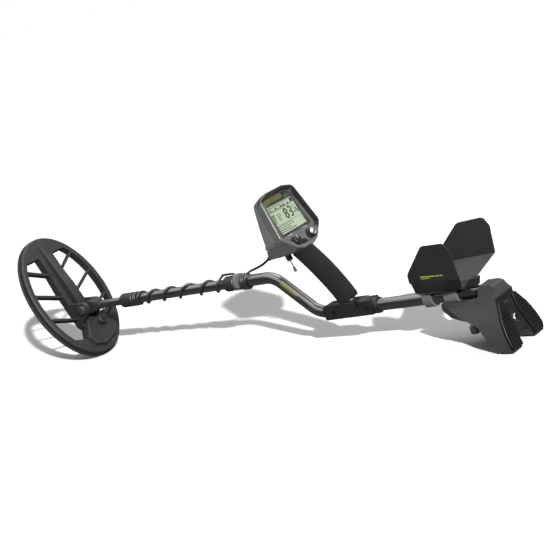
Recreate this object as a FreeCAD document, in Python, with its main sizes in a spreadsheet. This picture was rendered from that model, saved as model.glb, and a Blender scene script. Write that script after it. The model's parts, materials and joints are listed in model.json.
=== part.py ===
"""Metal detector with a telescoping stem: every piece is its own solid in its own named object.

Millimetres. The row frame has +X from the search coil towards the user's elbow, +Y to the user's right and
+Z up; the origin is on the floor below the middle of the overall length. Most pieces are drawn in one of
four working frames: the stem (its X runs up the stem, whose slope is small), the coil, the display and the
rear panel of the battery housing.
"""
import FreeCAD
import Part
import Sketcher
import math
import os
import re

Vector = FreeCAD.Vector
Rotation = FreeCAD.Rotation
Placement = FreeCAD.Placement

doc = FreeCAD.newDocument("MetalDetector")

# ---------------------------------------------------------------- driving dimensions
SIZES = {
    # stem frame
    "frame_shift": 64.85,
    "stem_height": 141.4,
    "stem_slope": 4.0,
    "rear_drop": 79.6,
    # telescoping tubes, bored for a running fit on the next one in
    "upper_radius": 11.1,
    "upper_bore": 9.6,
    "middle_radius": 9.525,
    "middle_bore": 8.02,
    "lower_radius": 7.95,
    "lower_bore": 6.5,
    "upper_front": -104.0,
    "middle_front": -384.0,
    "middle_rear": -26.0,
    "lower_front": -470.0,
    "lower_rear": -170.0,
    "bend_start": -24.5,
    "bend_radius": 48.0,
    "bend_angle": 45.0,
    "upper_rear": 148.0,
    "rear_tube_front": 160.0,
    "rear_tube_rear": 449.0,
    "tube_wall": 1.5,
    # lock collars and their split collets
    "collar_length": 36.0,
    "collar_radius": 14.2,
    "upper_collar_length": 28.0,
    "upper_collar_radius": 14.6,
    "collet_length": 14.0,
    "collet_wall": 2.4,
    "collet_slit": 1.6,
    # coil: half sizes of the ellipse, and heights measured from its top face
    "coil_half_length": 140.0,
    "coil_half_width": 97.7,
    "coil_thickness": 18.0,
    "cover_floor": 2.0,
    "cover_wall": 1.5,
    "cover_lip": 6.0,
    "opening_half_length": 127.0,
    "opening_half_width": 84.0,
    "spine_half_width": 23.5,
    "nose_spine_half_width": 20.0,
    "heel_spine_half_width": 18.0,
    "spoke_width": 5.0,
    "spoke_depth": 13.0,
    "spoke_sweep": 28.0,
    "mound_height": 7.5,
    "hood_radius": 11.0,
    "hood_height": 9.0,
    "coil_pitch": 64.2,
    "pivot_back": 44.0,
    "pivot_rise": 27.2,
    "ear_inner": 13.0,
    "ear_outer": 23.0,
    "ear_radius": 13.0,
    "winding_width": 5.0,
    "winding_height": 4.0,
    "winding_half_length": 132.5,
    "winding_half_width": 90.0,
    "channel_half_width": 3.1,
    "channel_depth": 11.9,
    "winding_overlap": 8.0,
    "bolt_radius": 4.0,
    "bolt_head_radius": 9.6,
    "bolt_head_height": 7.0,
    "eye_radius": 12.5,
    "washer_thickness": 1.9,
    "running_gap": 0.05,
    "gland_x": 76.0,
    "gland_y": 20.0,
    "cable_radius": 2.3,
    "wrap_start": -362.0,
    "wrap_pitch": 47.0,
    # saddle and grip
    "saddle_front": 95.5,
    "saddle_rear": 200.0,
    "saddle_top": -65.5,
    "saddle_bottom": -92.5,
    "saddle_half_width": 16.0,
    "pedestal_front": 119.0,
    "pedestal_rear": 179.0,
    "pedestal_top": -62.8,
    "grip_arc_radius": 450.0,
    "grip_arc_x": -259.5,
    "grip_arc_z": -251.0,
    "grip_half_depth": 20.5,
    "grip_half_width": 17.5,
    "grip_core_radius": 11.0,
    "grip_core_bore": 8.5,
    # display housing, measured in the display frame (X right, Y up the face, Z out of the face)
    "display_x": 64.4,
    "display_z": 255.5,
    "display_lean": 65.7,
    "lcd_half_width": 39.0,
    "lcd_half_height": 28.0,
    "shoulder_half_width": 51.0,
    "shoulder_v": 44.0,
    "apex_v": 53.0,
    "hip_half_width": 60.5,
    "hip_v": -36.0,
    "chin_half_width": 31.0,
    "chin_v": -62.0,
    "base_v": -68.0,
    "rim_height": 8.0,
    "face_corner_radius": 12.0,
    "rim_width": 7.0,
    "parting": -8.0,
    "seal_half": 0.5,
    "shell_wall": 2.6,
    "knob_y": 23.0,
    "knob_v": -49.0,
    "knob_radius": 9.5,
    "knob_height": 12.0,
    "knob_shaft": 3.0,
    # arm cup, in the stem frame
    "cup_wall": 3.0,
    "cup_floor": -62.7,
    "strap_radius": 15.6,
    # battery housing, in the stem frame and in the rear panel's frame
    "panel_x": 459.8,
    "panel_z": -94.4,
    "panel_lean": 14.9,
    "cell_radius": 7.1,
    "cell_length": 50.0,
    "cell_bay_width": 15.6,
    "cell_bay_depth": 30.2,
    "cell_bay_length": 52.6,
    "door_thickness": 4.0,
    "door_gap": 0.3,
    "jack_v": -39.0,
    "jack_radius": 3.2,
    "jack_body_radius": 6.0,
    "jack_length": 30.0,
    "pad_thickness": 3.0,
    "stand_knob_x": 386.0,
}

sheet = doc.addObject("Spreadsheet::Sheet", "Sizes")
for row, (name, value) in enumerate(SIZES.items(), start=1):
    sheet.set(f"A{row}", name)
    sheet.set(f"B{row}", str(value))
    sheet.setAlias(f"B{row}", name)
doc.recompute()


def size(name):
    """The value of one cell of the sheet."""
    return float(sheet.get(name))


def bind(thing, prop, text):
    """Bind a property to an expression whose words are names in the sheet."""
    full = re.sub(r"[a-z]\w*", lambda m: "Sizes." + m.group() if m.group() in SIZES else m.group(),
                  str(text))
    thing.setExpression(prop, full)


# ---------------------------------------------------------------- working frames
def shifted(frame, x=0.0, y=0.0, z=0.0):
    """The frame moved along its own axes."""
    return frame.multiply(Placement(Vector(x, y, z), Rotation()))


def turned_to(frame, rotation):
    """The frame turned about its own origin."""
    return frame.multiply(Placement(Vector(), rotation))


Y_AXIS = Vector(0, 1, 0)
ROW = Placement(Vector(size("frame_shift"), 0, 0), Rotation())
STEM = shifted(ROW, z=size("stem_height")).multiply(Placement(Vector(),
                                                              Rotation(Y_AXIS, -size("stem_slope"))))
REAR = shifted(STEM, z=-size("rear_drop"))
PIVOT = shifted(STEM, x=-506.0)
COIL = PIVOT.multiply(Placement(Vector(), Rotation(Y_AXIS, size("coil_pitch") + size("stem_slope"))))
COIL = shifted(COIL, x=-size("pivot_back"), z=-size("pivot_rise"))
DISPLAY = shifted(ROW, x=size("display_x"), z=size("display_z"))
DISPLAY = turned_to(turned_to(DISPLAY, Rotation(Vector(0, 0, 1), 90)),
                    Rotation(Vector(1, 0, 0), size("display_lean")))
PANEL = shifted(STEM, x=size("panel_x"), z=size("panel_z"))
PANEL = turned_to(turned_to(PANEL, Rotation(Vector(0, 0, 1), 90)),
                  Rotation(Vector(1, 0, 0), 90 - size("panel_lean")))
ALONG_Z = Rotation(Y_AXIS, -90)
ALONG_Y = Rotation(Vector(0, 0, 1), 90)


# ---------------------------------------------------------------- drawing helpers
def new_body(label, frame):
    body = doc.addObject("PartDesign::Body", label)
    body.Label = label
    body.Placement = frame
    return body


def new_sketch(body, plane, offset="0"):
    """A sketch parallel to one of the body's origin planes (normals: XY +Z, XZ -Y, YZ +X)."""
    sketch = body.newObject("Sketcher::SketchObject", body.Name + "_sketch")
    origin = next(f for f in body.Origin.OriginFeatures if f.Role == plane + "_Plane")
    sketch.AttachmentSupport = [(origin, "")]
    sketch.MapMode = "FlatFace"
    bind(sketch, "AttachmentOffset.Base.z", offset)
    return sketch


def constrain(sketch, constraints, texts):
    """Add constraints; each text that isn't None is the expression of its constraint."""
    for index, text in zip(sketch.addConstraint(constraints), texts):
        if text is not None:
            bind(sketch, f"Constraints[{index}]", text)


def polygon(sketch, corners):
    """A closed outline through corners, each a pair of expressions."""
    count = len(corners)
    first = sketch.GeometryCount
    ring = [Vector(50 * math.cos(2 * math.pi * i / count), 50 * math.sin(2 * math.pi * i / count), 0)
            for i in range(count + 1)]
    for i in range(count):
        sketch.addGeometry(Part.LineSegment(ring[i], ring[i + 1]), False)
    for i, (across, up) in enumerate(corners):
        joint = Sketcher.Constraint("Coincident", first + i, 2, first + (i + 1) % count, 1)
        place_x = Sketcher.Constraint("DistanceX", -1, 1, first + i, 1, ring[i].x)
        place_y = Sketcher.Constraint("DistanceY", -1, 1, first + i, 1, ring[i].y)
        constrain(sketch, [joint, place_x, place_y], [None, across, up])


def rectangle(sketch, left, right, low, high):
    polygon(sketch, [(left, low), (right, low), (right, high), (left, high)])


def circle(sketch, across, up, radius):
    index = sketch.addGeometry(Part.Circle(Vector(1, 1, 0), Vector(0, 0, 1), 5), False)
    constrain(sketch, [Sketcher.Constraint("DistanceX", -1, 1, index, 3, 1.0),
                       Sketcher.Constraint("DistanceY", -1, 1, index, 3, 1.0),
                       Sketcher.Constraint("Radius", index, 5.0)], [across, up, radius])


def ellipse(sketch, half_length, half_width):
    """An ellipse about the origin; its major axis lies along the sketch's X."""
    index = sketch.addGeometry(Part.Ellipse(Vector(0, 0, 0), 140, 100), False)
    sketch.exposeInternalGeometry(index)
    constrain(sketch, [Sketcher.Constraint("Coincident", index, 3, -1, 1),
                       Sketcher.Constraint("Distance", index + 1, 1, index + 1, 2, 280.0),
                       Sketcher.Constraint("Distance", index + 2, 1, index + 2, 2, 200.0),
                       Sketcher.Constraint("Horizontal", index + 1)],
              [None, f"2 * ({half_length})", f"2 * ({half_width})", None])


def mirrored(corners):
    """The corners of one half, and their mirror images walked back."""
    return corners + [(f"-({across})", up) for across, up in reversed(corners)]


def finish_feature(feature, grows):
    """Recompute, and stop if the feature failed or changed the volume the wrong way."""
    body = feature.getParentGeoFeatureGroup()
    before = feature.BaseFeature.Shape.Volume if feature.BaseFeature else 0.0
    doc.recompute()
    if "Invalid" in feature.State or "Error" in feature.State or feature.Shape.isNull():
        raise RuntimeError(f"{body.Label}: {feature.Name} failed")
    change = feature.Shape.Volume - before
    if (change > 0) != grows:
        raise RuntimeError(f"{body.Label}: {feature.Name} changed the volume by {change:.3f}")
    return feature


def extrude(body, kind, sketch, length, both, back, taper):
    feature = body.newObject("PartDesign::" + kind, body.Name + "_" + kind.lower())
    feature.Profile = sketch
    bind(feature, "Length", length)
    feature.Midplane = both
    feature.Reversed = back
    if taper:
        bind(feature, "TaperAngle", taper)
    return finish_feature(feature, kind == "Pad")


def pad(body, sketch, length, both=False, back=False, taper=""):
    """Add material along the sketch's normal; back turns it round and both goes half each way."""
    return extrude(body, "Pad", sketch, length, both, back, taper)


def pocket(body, sketch, length, both=False, back=False, taper=""):
    """Remove material against the sketch's normal; back turns it round and both goes half each way."""
    return extrude(body, "Pocket", sketch, length, both, back, taper)


def turned(label, frame, profile):
    """A body turned about its own X axis; the profile is a closed outline of (along, radius) pairs."""
    body = new_body(label, frame)
    sketch = new_sketch(body, "XY")
    polygon(sketch, profile)
    feature = body.newObject("PartDesign::Revolution", label + "_revolution")
    feature.Profile = sketch
    feature.ReferenceAxis = (sketch, ["H_Axis"])
    feature.Angle = 360
    finish_feature(feature, True)
    return body


def tube(label, frame, start, end, outer, bore):
    """A straight tube along X."""
    return turned(label, frame, [(start, bore), (end, bore), (end, outer), (start, outer)])


def cross_hole(body, x, z, radius):
    """A hole along Y through the whole body."""
    sketch = new_sketch(body, "XZ")
    circle(sketch, x, z, radius)
    pocket(body, sketch, "200", both=True)


def round_edges(body, radius, wanted, kind="Fillet"):
    """Fillet or chamfer the edges that the test picks; edges are tested in the body's own frame."""
    base = body.Tip
    names = [f"Edge{n}" for n, edge in enumerate(base.Shape.Edges, start=1) if wanted(edge)]
    if not names:
        raise RuntimeError(f"{body.Label}: no edge to round")
    feature = body.newObject("PartDesign::" + kind, f"{body.Name}_{kind.lower()}")
    feature.Base = (base, names)
    bind(feature, "Radius" if kind == "Fillet" else "Size", radius)
    doc.recompute()
    if "Invalid" in feature.State or "Error" in feature.State or not feature.Shape.isValid():
        raise RuntimeError(f"{body.Label}: {kind} failed on {names}")


def runs_along(axis):
    """An edge test: straight, and parallel to the axis (0, 1 or 2)."""
    def test(edge):
        if not isinstance(edge.Curve, Part.Line):
            return False
        return abs(abs(edge.Curve.Direction[axis]) - 1) < 0.002
    return test


def lies_at(axis, place, slack=0.05):
    """An edge test: the whole edge is at one coordinate."""
    def test(edge):
        box = edge.BoundBox
        low = (box.XMin, box.YMin, box.ZMin)[axis]
        high = (box.XMax, box.YMax, box.ZMax)[axis]
        return abs(low - place) < slack and abs(high - place) < slack
    return test


def rounded_path(sketch, corners, bend):
    """An open path of straight runs joined by tangent arcs, from corners in millimetres."""
    start = Vector(*corners[0], 0)
    for before, corner, after in zip(corners, corners[1:], corners[2:]):
        middle = Vector(*corner, 0)
        back = (Vector(*before, 0) - middle).normalize()
        ahead = (Vector(*after, 0) - middle).normalize()
        half = back.getAngle(ahead) / 2
        reach = bend / math.tan(half)
        centre = middle + (back + ahead).normalize() * (bend / math.sin(half))
        crown = centre + (middle - centre).normalize() * bend
        arc = Part.Arc(middle + back * reach, crown, middle + ahead * reach)
        sketch.addGeometry(Part.LineSegment(start, middle + back * reach), False)
        sketch.addGeometry(arc, False)
        start = middle + ahead * reach
    sketch.addGeometry(Part.LineSegment(start, Vector(*corners[-1], 0)), False)


def placed_sketch(body, placement):
    """A sketch anywhere in the body's own frame."""
    sketch = new_sketch(body, "XY")
    sketch.setExpression("AttachmentOffset.Base.z", None)
    sketch.AttachmentOffset = placement
    return sketch


def pipe(body, path, profile):
    feature = body.newObject("PartDesign::AdditivePipe", body.Name + "_pipe")
    feature.Profile = profile
    feature.Spine = (path, [])
    finish_feature(feature, True)


def across_path(body, point, direction):
    """A sketch square to a path that lies in the XZ plane, at its first point."""
    angle = math.degrees(math.atan2(direction[0], direction[1]))
    return placed_sketch(body, Placement(Vector(point[0], 0, point[1]), Rotation(Y_AXIS, angle)))


def swept(label, frame, corners, bend, radius, bore=None):
    """A round bar or tube along a rounded path in the frame's XZ plane."""
    body = new_body(label, frame)
    path = new_sketch(body, "XZ")
    rounded_path(path, corners, bend)
    profile = across_path(body, corners[0], (corners[1][0] - corners[0][0], corners[1][1] - corners[0][1]))
    circle(profile, "0", "0", radius)
    if bore:
        circle(profile, "0", "0", bore)
    pipe(body, path, profile)
    return body


def group(label, members):
    """Several separate solids that share one node."""
    compound = doc.addObject("Part::Compound", label)
    compound.Label = label
    compound.Links = members
    return compound


def seen_from(frame, other, x=0.0, y=0.0, z=0.0):
    """A point given in another frame, in this frame's own coordinates."""
    return frame.inverse().multVec(other.multVec(Vector(x, y, z)))


# ---------------------------------------------------------------- search coil
INNER_GAP = 0.1


NOSE_PLATE = ((-98, 60), (-112, 50), (-126, 30), (-126, -30), (-112, -50), (-98, -60))
HEEL_PLATE = ((58, 0), (58, 80), (80, 70), (100, 58), (116, 44), (126, 30), (126, -30), (116, -44),
              (100, -58), (86, -66), (98, -32), (72, -17), (58, -17))
HEEL_MOUND = ((62, -12), (72, -17), (98, -32), (117, -24), (127, 0), (117, 38), (99, 57), (72, 50), (60, 24))


def as_texts(corners):
    return [(str(across), str(up)) for across, up in corners]


def coil_cells(body, height, depth):
    """Cut the open ellipse out of a plate, then put back the spine, the nose plate and the heel plate."""
    opening = new_sketch(body, "XY", height)
    ellipse(opening, "opening_half_length", "opening_half_width")
    pocket(body, opening, depth)
    spine = new_sketch(body, "XY", height)
    half = [("-opening_half_length - 1", "nose_spine_half_width"), ("-60", "nose_spine_half_width"),
            ("-20", "spine_half_width"), ("pivot_back + 22", "spine_half_width"),
            ("pivot_back + 30", "heel_spine_half_width"), ("opening_half_length + 1", "heel_spine_half_width")]
    polygon(spine, half + [(across, f"-{up}") for across, up in reversed(half)])
    pad(body, spine, depth, back=True)
    for corners in (NOSE_PLATE, HEEL_PLATE):
        plate = new_sketch(body, "XY", height)
        polygon(plate, as_texts(corners))
        pad(body, plate, depth, back=True)


def coil_housing():
    body = new_body("coil_housing", COIL)
    outline = new_sketch(body, "XY")
    ellipse(outline, f"coil_half_length - cover_wall - {INNER_GAP}",
            f"coil_half_width - cover_wall - {INNER_GAP}")
    depth = f"coil_thickness - cover_floor - {INNER_GAP}"
    pad(body, outline, depth, back=True)
    round_edges(body, "4", lies_at(2, 0.0))
    coil_cells(body, "0", depth)
    spokes = new_sketch(body, "XY", "-1.5")
    for spine_x, rim_x, rim_y in ((-58, -83, 66), (-3, -32, 84), (52, 26, 86)):
        for side in (1, -1):
            polygon(spokes, [(f"{spine_x} - spoke_width / 2", str(20 * side)),
                             (f"{spine_x} + spoke_width / 2", str(20 * side)),
                             (f"{rim_x} + spoke_width / 2", str(rim_y * side)),
                             (f"{rim_x} - spoke_width / 2", str(rim_y * side))])
    pad(body, spokes, "spoke_depth", back=True)
    ribs = new_sketch(body, "XY", "-0.5")
    for spine_x, rim_x, rim_y in ((-58, -83, 66), (-3, -32, 84)):
        root_x = spine_x + (spine_x - rim_x) * 14 / (rim_y - 20)
        for side in (1, -1):
            polygon(ribs, [(f"{root_x:.3f} - spoke_width / 2", str(6 * side)),
                           (f"{root_x:.3f} + spoke_width / 2", str(6 * side)),
                           (f"{spine_x} + spoke_width / 2", str(19 * side)),
                           (f"{spine_x} - spoke_width / 2", str(19 * side))])
    pad(body, ribs, "2.2")
    ridge = []
    for x, base, top, height in ((-124, 4, 3, 1.5), (-20, 11, 10, 14), (24, 11, 10, 14), (34, 11, 10, 8),
                                 (66, 11, 10, 8)):
        section = new_sketch(body, "YZ", str(x))
        polygon(section, mirrored([(str(base), "-1"), (str(top), str(height))]))
        ridge.append(section)
    loft = body.newObject("PartDesign::AdditiveLoft", "coil_ridge")
    loft.Profile = ridge[0]
    loft.Sections = ridge[1:]
    loft.Ruled = True
    finish_feature(loft, True)
    mound = new_sketch(body, "XY")
    polygon(mound, as_texts(HEEL_MOUND))
    pad(body, mound, "mound_height", taper="-18")
    round_edges(body, "2.5", lambda edge: lies_at(2, size("mound_height"))(edge) and edge.CenterOfMass.x > 66)
    hood = new_sketch(body, "XY", "mound_height - 0.5")
    circle(hood, "gland_x", "gland_y", "hood_radius")
    circle(hood, "gland_x", "gland_y", "hood_radius - 2.4")
    pad(body, hood, "hood_height + 0.5")
    mouth = new_sketch(body, "XZ")
    polygon(mouth, [("gland_x - 14", "mound_height + 0.02"), ("gland_x - 2", "mound_height + 0.02"),
                    ("gland_x + 9", "mound_height + hood_height + 1"),
                    ("gland_x - 14", "mound_height + hood_height + 1")])
    pocket(body, mouth, "2 * (gland_y + hood_radius + 1)", both=True)
    for back, offset in ((True, "-ear_inner"), (False, "ear_inner")):
        ear = new_sketch(body, "XZ", offset)
        polygon(ear, [("pivot_back - 27", "-1"), ("pivot_back + 22", "-1"),
                      ("pivot_back + ear_radius * 0.92", "pivot_rise + 4"),
                      ("pivot_back - ear_radius * 0.92", "pivot_rise + 4")])
        pad(body, ear, "ear_outer - ear_inner", back=back)
        eye = new_sketch(body, "XZ", offset)
        circle(eye, "pivot_back", "pivot_rise", "ear_radius")
        pad(body, eye, "ear_outer - ear_inner", back=back)
    cross_hole(body, "pivot_back", "pivot_rise", "bolt_radius + 0.03")
    channel = new_sketch(body, "XY", f"-({depth})")
    for sign in "+-":
        ellipse(channel, f"winding_half_length {sign} channel_half_width",
                f"winding_half_width {sign} channel_half_width")
    pocket(body, channel, "channel_depth", back=True)
    slot = new_sketch(body, "XY", f"-({depth})")
    rectangle(slot, "-winding_half_length", "winding_half_length", "-winding_overlap - channel_half_width",
              "winding_overlap + channel_half_width")
    pocket(body, slot, "channel_depth", back=True)
    return body


def coil_cover():
    body = new_body("coil_cover", COIL)
    outline = new_sketch(body, "XY", "-coil_thickness")
    ellipse(outline, "coil_half_length", "coil_half_width")
    pad(body, outline, "cover_lip")
    inside = new_sketch(body, "XY", "-coil_thickness + cover_lip")
    ellipse(inside, "coil_half_length - cover_wall", "coil_half_width - cover_wall")
    pocket(body, inside, "cover_lip - cover_floor")
    coil_cells(body, "-coil_thickness + cover_floor", "cover_floor")
    return body


def winding(label, side, height):
    """A D-shaped loop: one half of the rim, closed by a bar just past the coil's centre line."""
    body = new_body(label, COIL)
    ring = new_sketch(body, "XY", height)
    ellipse(ring, "winding_half_length + winding_width / 2", "winding_half_width + winding_width / 2")
    ellipse(ring, "winding_half_length - winding_width / 2", "winding_half_width - winding_width / 2")
    pad(body, ring, "winding_height")
    far = f"{side} * (winding_overlap + winding_width / 2)"
    near = f"{side} * (winding_overlap - winding_width / 2)"
    other_half = new_sketch(body, "XY", height)
    rectangle(other_half, "-200", "200", far, f"{side} * 120")
    pocket(body, other_half, "winding_height", back=True)
    bar = new_sketch(body, "XY", height)
    rectangle(bar, "-winding_half_length + 2", "winding_half_length - 2", near, far)
    pad(body, bar, "winding_height")
    return body


def coil_gland():
    frame = turned_to(shifted(COIL, size("gland_x"), size("gland_y"), size("mound_height") + 0.05), ALONG_Z)
    bore = "cable_radius + 0.05"
    return turned("coil_gland", frame, [("0", bore), ("0", "7.5"), ("6", "7.5"), ("7.5", "5.6"),
                                        ("22", "4"), ("22", bore)])


def coil_cable():
    frame = turned_to(shifted(COIL, size("gland_x"), size("gland_y"), size("mound_height") + 0.1), ALONG_Z)
    return turned("coil_cable", frame, [("0", "0"), ("26.4", "0"), ("26.4", "cable_radius"),
                                        ("0", "cable_radius")])


def pivot_bolt():
    head = "ear_outer + 0.05"
    return turned("pivot_bolt", turned_to(PIVOT, ALONG_Y), [
        (f"-({head}) - bolt_head_height", "0"), ("ear_outer + 5.4", "0"),
        ("ear_outer + 5.4", "bolt_radius"), (f"-({head})", "bolt_radius"),
        (f"-({head})", "bolt_head_radius"), (f"-({head}) - bolt_head_height + 2", "bolt_head_radius"),
        (f"-({head}) - bolt_head_height", "bolt_head_radius - 2")])


def pivot_nut():
    bore = "bolt_radius + 0.03"
    base = "ear_outer + 0.05"
    return turned("pivot_nut", turned_to(PIVOT, ALONG_Y), [
        (base, bore), (f"{base} + 5.5", bore), (f"{base} + 6.5", "0"), (f"{base} + bolt_head_height", "0"),
        (f"{base} + bolt_head_height", "bolt_head_radius - 2"),
        (f"{base} + bolt_head_height - 2", "bolt_head_radius"),
        (base, "bolt_head_radius")])


def pivot_washers():
    washers = []
    for number, start in enumerate(("ear_inner - 0.05 - washer_thickness", "-ear_inner + 0.05")):
        washers.append(tube(f"pivot_washer_{number}", turned_to(PIVOT, ALONG_Y), start,
                            f"{start} + washer_thickness",
                            "9", "bolt_radius + 0.05"))
    return group("pivot_washers", washers)


# ---------------------------------------------------------------- stem
def rod_tip():
    """The flat eye at the lower end of the stem, with a spigot that is glued into the lower rod."""
    body = new_body("rod_tip", PIVOT)
    width = "2 * (ear_inner - washer_thickness - 0.15)"
    eye = new_sketch(body, "XZ")
    circle(eye, "0", "0", "eye_radius")
    pad(body, eye, width, both=True)
    neck = new_sketch(body, "XZ")
    polygon(neck, [("0", "-eye_radius"), ("10", "-eye_radius"), ("25", "-9"), ("25", "9"),
                   ("10", "eye_radius"), ("0", "eye_radius")])
    pad(body, neck, width, both=True)
    for start, length, radius in (("24.5", "11.5", "9.6"), ("36", "22", "lower_bore - 0.05")):
        round_part = new_sketch(body, "YZ", start)
        circle(round_part, "0", "0", radius)
        pad(body, round_part, length)
    cross_hole(body, "0", "0", "bolt_radius + running_gap")
    return body


def lock_collar(label, start, length, radius, rod, cavity_end, seat):
    """A grip collar: a lip round the inner rod, a cavity for the collet, then the bore on the outer rod."""
    profile = [(start, rod), (f"{start} + 4", rod), (f"{start} + 4", f"{rod} + collet_wall + 0.6"),
               (cavity_end, f"{rod} + collet_wall + 0.6"), (cavity_end, seat),
               (f"{start} + {length}", seat),
               (f"{start} + {length}", f"{radius} - 1.5"), (f"{start} + {length} - 1.5", radius),
               (f"{start} + 5", radius), (start, f"{radius} - 3")]
    body = turned(label, STEM, profile)
    flutes = new_sketch(body, "YZ", f"{start} + 7")
    count = 16
    for step in range(count):
        angle = 2 * math.pi * step / count
        circle(flutes, f"({radius} + 0.7) * {math.cos(angle):.5f}",
               f"({radius} + 0.7) * {math.sin(angle):.5f}", "1.3")
    pocket(body, flutes, f"{length} - 13", back=True)
    return body


def collet(label, start, rod):
    """A split sleeve that the collar squeezes onto the inner rod."""
    body = tube(label, STEM, start, f"{start} + collet_length", f"{rod} + collet_wall", rod)
    slit = new_sketch(body, "XZ")
    rectangle(slit, f"{start} - 1", f"{start} + collet_length + 1", "0", "30")
    pocket(body, slit, "collet_slit", both=True)
    return body


def upper_rod():
    """The S-bent rod: straight, down through two equal bends, and straight again through the saddle."""
    angle = math.radians(size("bend_angle"))
    run = size("rear_drop") / math.tan(angle)
    corner = size("bend_start") + size("bend_radius") * math.tan(angle / 2)
    corners = [(size("upper_front"), 0.0), (corner, 0.0), (corner + run, -size("rear_drop")),
               (size("upper_rear"), -size("rear_drop"))]
    body = swept("upper_rod", STEM, corners, size("bend_radius"), "upper_radius", "upper_bore")
    cross_hole(body, "saddle_front + 22", "-rear_drop", "2.6")
    return body


def rear_tube():
    body = tube("rear_tube", REAR, "rear_tube_front", "rear_tube_rear", "upper_radius",
                "upper_radius - tube_wall")
    cross_hole(body, "saddle_rear - 9", "0", "2.6")
    return body


def lower_cable():
    corners = [(-466, -6), (-452, 0), (-411, 0)]
    return swept("lower_cable", shifted(STEM, y=17), corners, 12, "cable_radius")


def middle_cable():
    """The coil cable, wound round the middle rod."""
    helix = doc.addObject("Part::Helix", "wrap_line")
    bind(helix, "Radius", "middle_radius + cable_radius + 0.15")
    bind(helix, "Pitch", "wrap_pitch")
    bind(helix, "Height", "wrap_pitch * 5")
    section = doc.addObject("Part::Circle", "wrap_section")
    bind(section, "Radius", "cable_radius")
    wrap_radius = size("middle_radius") + size("cable_radius") + 0.15
    climb = math.degrees(math.atan2(size("wrap_pitch"), 2 * math.pi * wrap_radius))
    section.Placement = Placement(Vector(wrap_radius, 0, 0), Rotation(Vector(1, 0, 0), 90 + climb))
    wrap = doc.addObject("Part::Sweep", "middle_cable")
    wrap.Label = "middle_cable"
    wrap.Sections = [section]
    wrap.Spine = (helix, ["Edge1"])
    wrap.Solid = True
    wrap.Frenet = True
    wrap.Placement = turned_to(shifted(STEM, x=size("wrap_start")), Rotation(Y_AXIS, 90))
    return wrap


def upper_cable():
    corners = [(-121, 18.7), (-100, 18.7), (-90, 15.2), (-76, 15.2), (-55, 17.5), (-20, 26.6), (2.6, 36.7)]
    return swept("upper_cable", STEM, corners, 25, "cable_radius")


def cable_strap():
    """A hook-and-loop band that ties the cable to the front of the upper rod."""
    body = new_body("cable_strap", STEM)
    outline = new_sketch(body, "YZ", "-95")
    circle(outline, "0", "0", "upper_radius + 1.6")
    circle(outline, "0", "0", "upper_radius + 0.1")
    pad(body, outline, "16")
    return body


def cable_plug():
    frame = turned_to(shifted(STEM, x=-1.0, z=35.0), Rotation(Y_AXIS, -24.1))
    bore = "cable_radius + 0.1"
    return turned("cable_plug", frame, [("0", bore), ("0", "4.2"), ("9", "5"), ("9", "7"), ("19", "7"),
                                        ("19", "0"), ("4.6", "0"), ("4.6", bore)])


# ---------------------------------------------------------------- saddle and grip
def saddle_half(label, side):
    body = new_body(label, STEM)
    outline = new_sketch(body, "XZ")
    polygon(outline, [("saddle_front", "saddle_bottom + 2.5"), ("saddle_front + 3", "saddle_bottom"),
                      ("saddle_rear", "saddle_bottom"),
                      ("saddle_rear", "saddle_top"), ("pedestal_rear + 3", "saddle_top"),
                      ("pedestal_rear", "pedestal_top"),
                      ("pedestal_front", "pedestal_top"), ("pedestal_front - 3", "saddle_top"),
                      ("saddle_front + 3", "saddle_top"), ("saddle_front", "saddle_top - 2.5")])
    pad(body, outline, "saddle_half_width", back=side > 0)
    outer = size("saddle_half_width") * side
    round_edges(body, "4", lambda edge: lies_at(1,
                                                outer)(edge) and runs_along(0)(edge) and edge.Length > 30)
    bore = new_sketch(body, "YZ", "saddle_front - 1")
    circle(bore, "0", "-rear_drop", "upper_radius + 0.02")
    pocket(body, bore, "saddle_rear - saddle_front + 2", back=True)
    for along in ("saddle_front + 22", "saddle_rear - 9"):
        cross_hole(body, along, "-rear_drop", "2.6")
        recess = new_sketch(body, "XZ", f"{-side} * (saddle_half_width - 3)")
        circle(recess, along, "-rear_drop", "5")
        pocket(body, recess, "10", back=side < 0)
    slot = new_sketch(body, "XZ", f"{-side} * (saddle_half_width - 4)")
    rectangle(slot, "pedestal_rear - 13", "pedestal_rear - 3", "pedestal_top - 11", "pedestal_top - 1")
    pocket(body, slot, "10", back=side < 0)
    return body


def saddle_screws():
    """Two cross bolts: ahead of the grip through the S-bent rod, behind it through the rear tube."""
    bolts = []
    for number, along in enumerate((size("saddle_front") + 22, size("saddle_rear") - 9)):
        frame = turned_to(shifted(REAR, x=along), ALONG_Y)
        seat = "saddle_half_width - 3"
        bolts.append(turned(f"saddle_bolt_{number}", frame, [
            (f"-({seat}) - 2.6", "0"), (f"{seat} + 2.6", "0"), (f"{seat} + 2.6", "4.6"),
            (f"{seat} + 0.05", "4.6"),
            (f"{seat} + 0.05", "2.5"), (f"-({seat}) - 0.05", "2.5"), (f"-({seat}) - 0.05", "4.6"),
            (f"-({seat}) - 2.6", "4.6")]))
    return group("saddle_screws", bolts)


def stem_clamp():
    """The ring that closes the split end of the saddle."""
    return tube("stem_clamp", REAR, "saddle_rear + 0.2", "saddle_rear + 10", "14.6", "upper_radius + 0.02")


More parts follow.
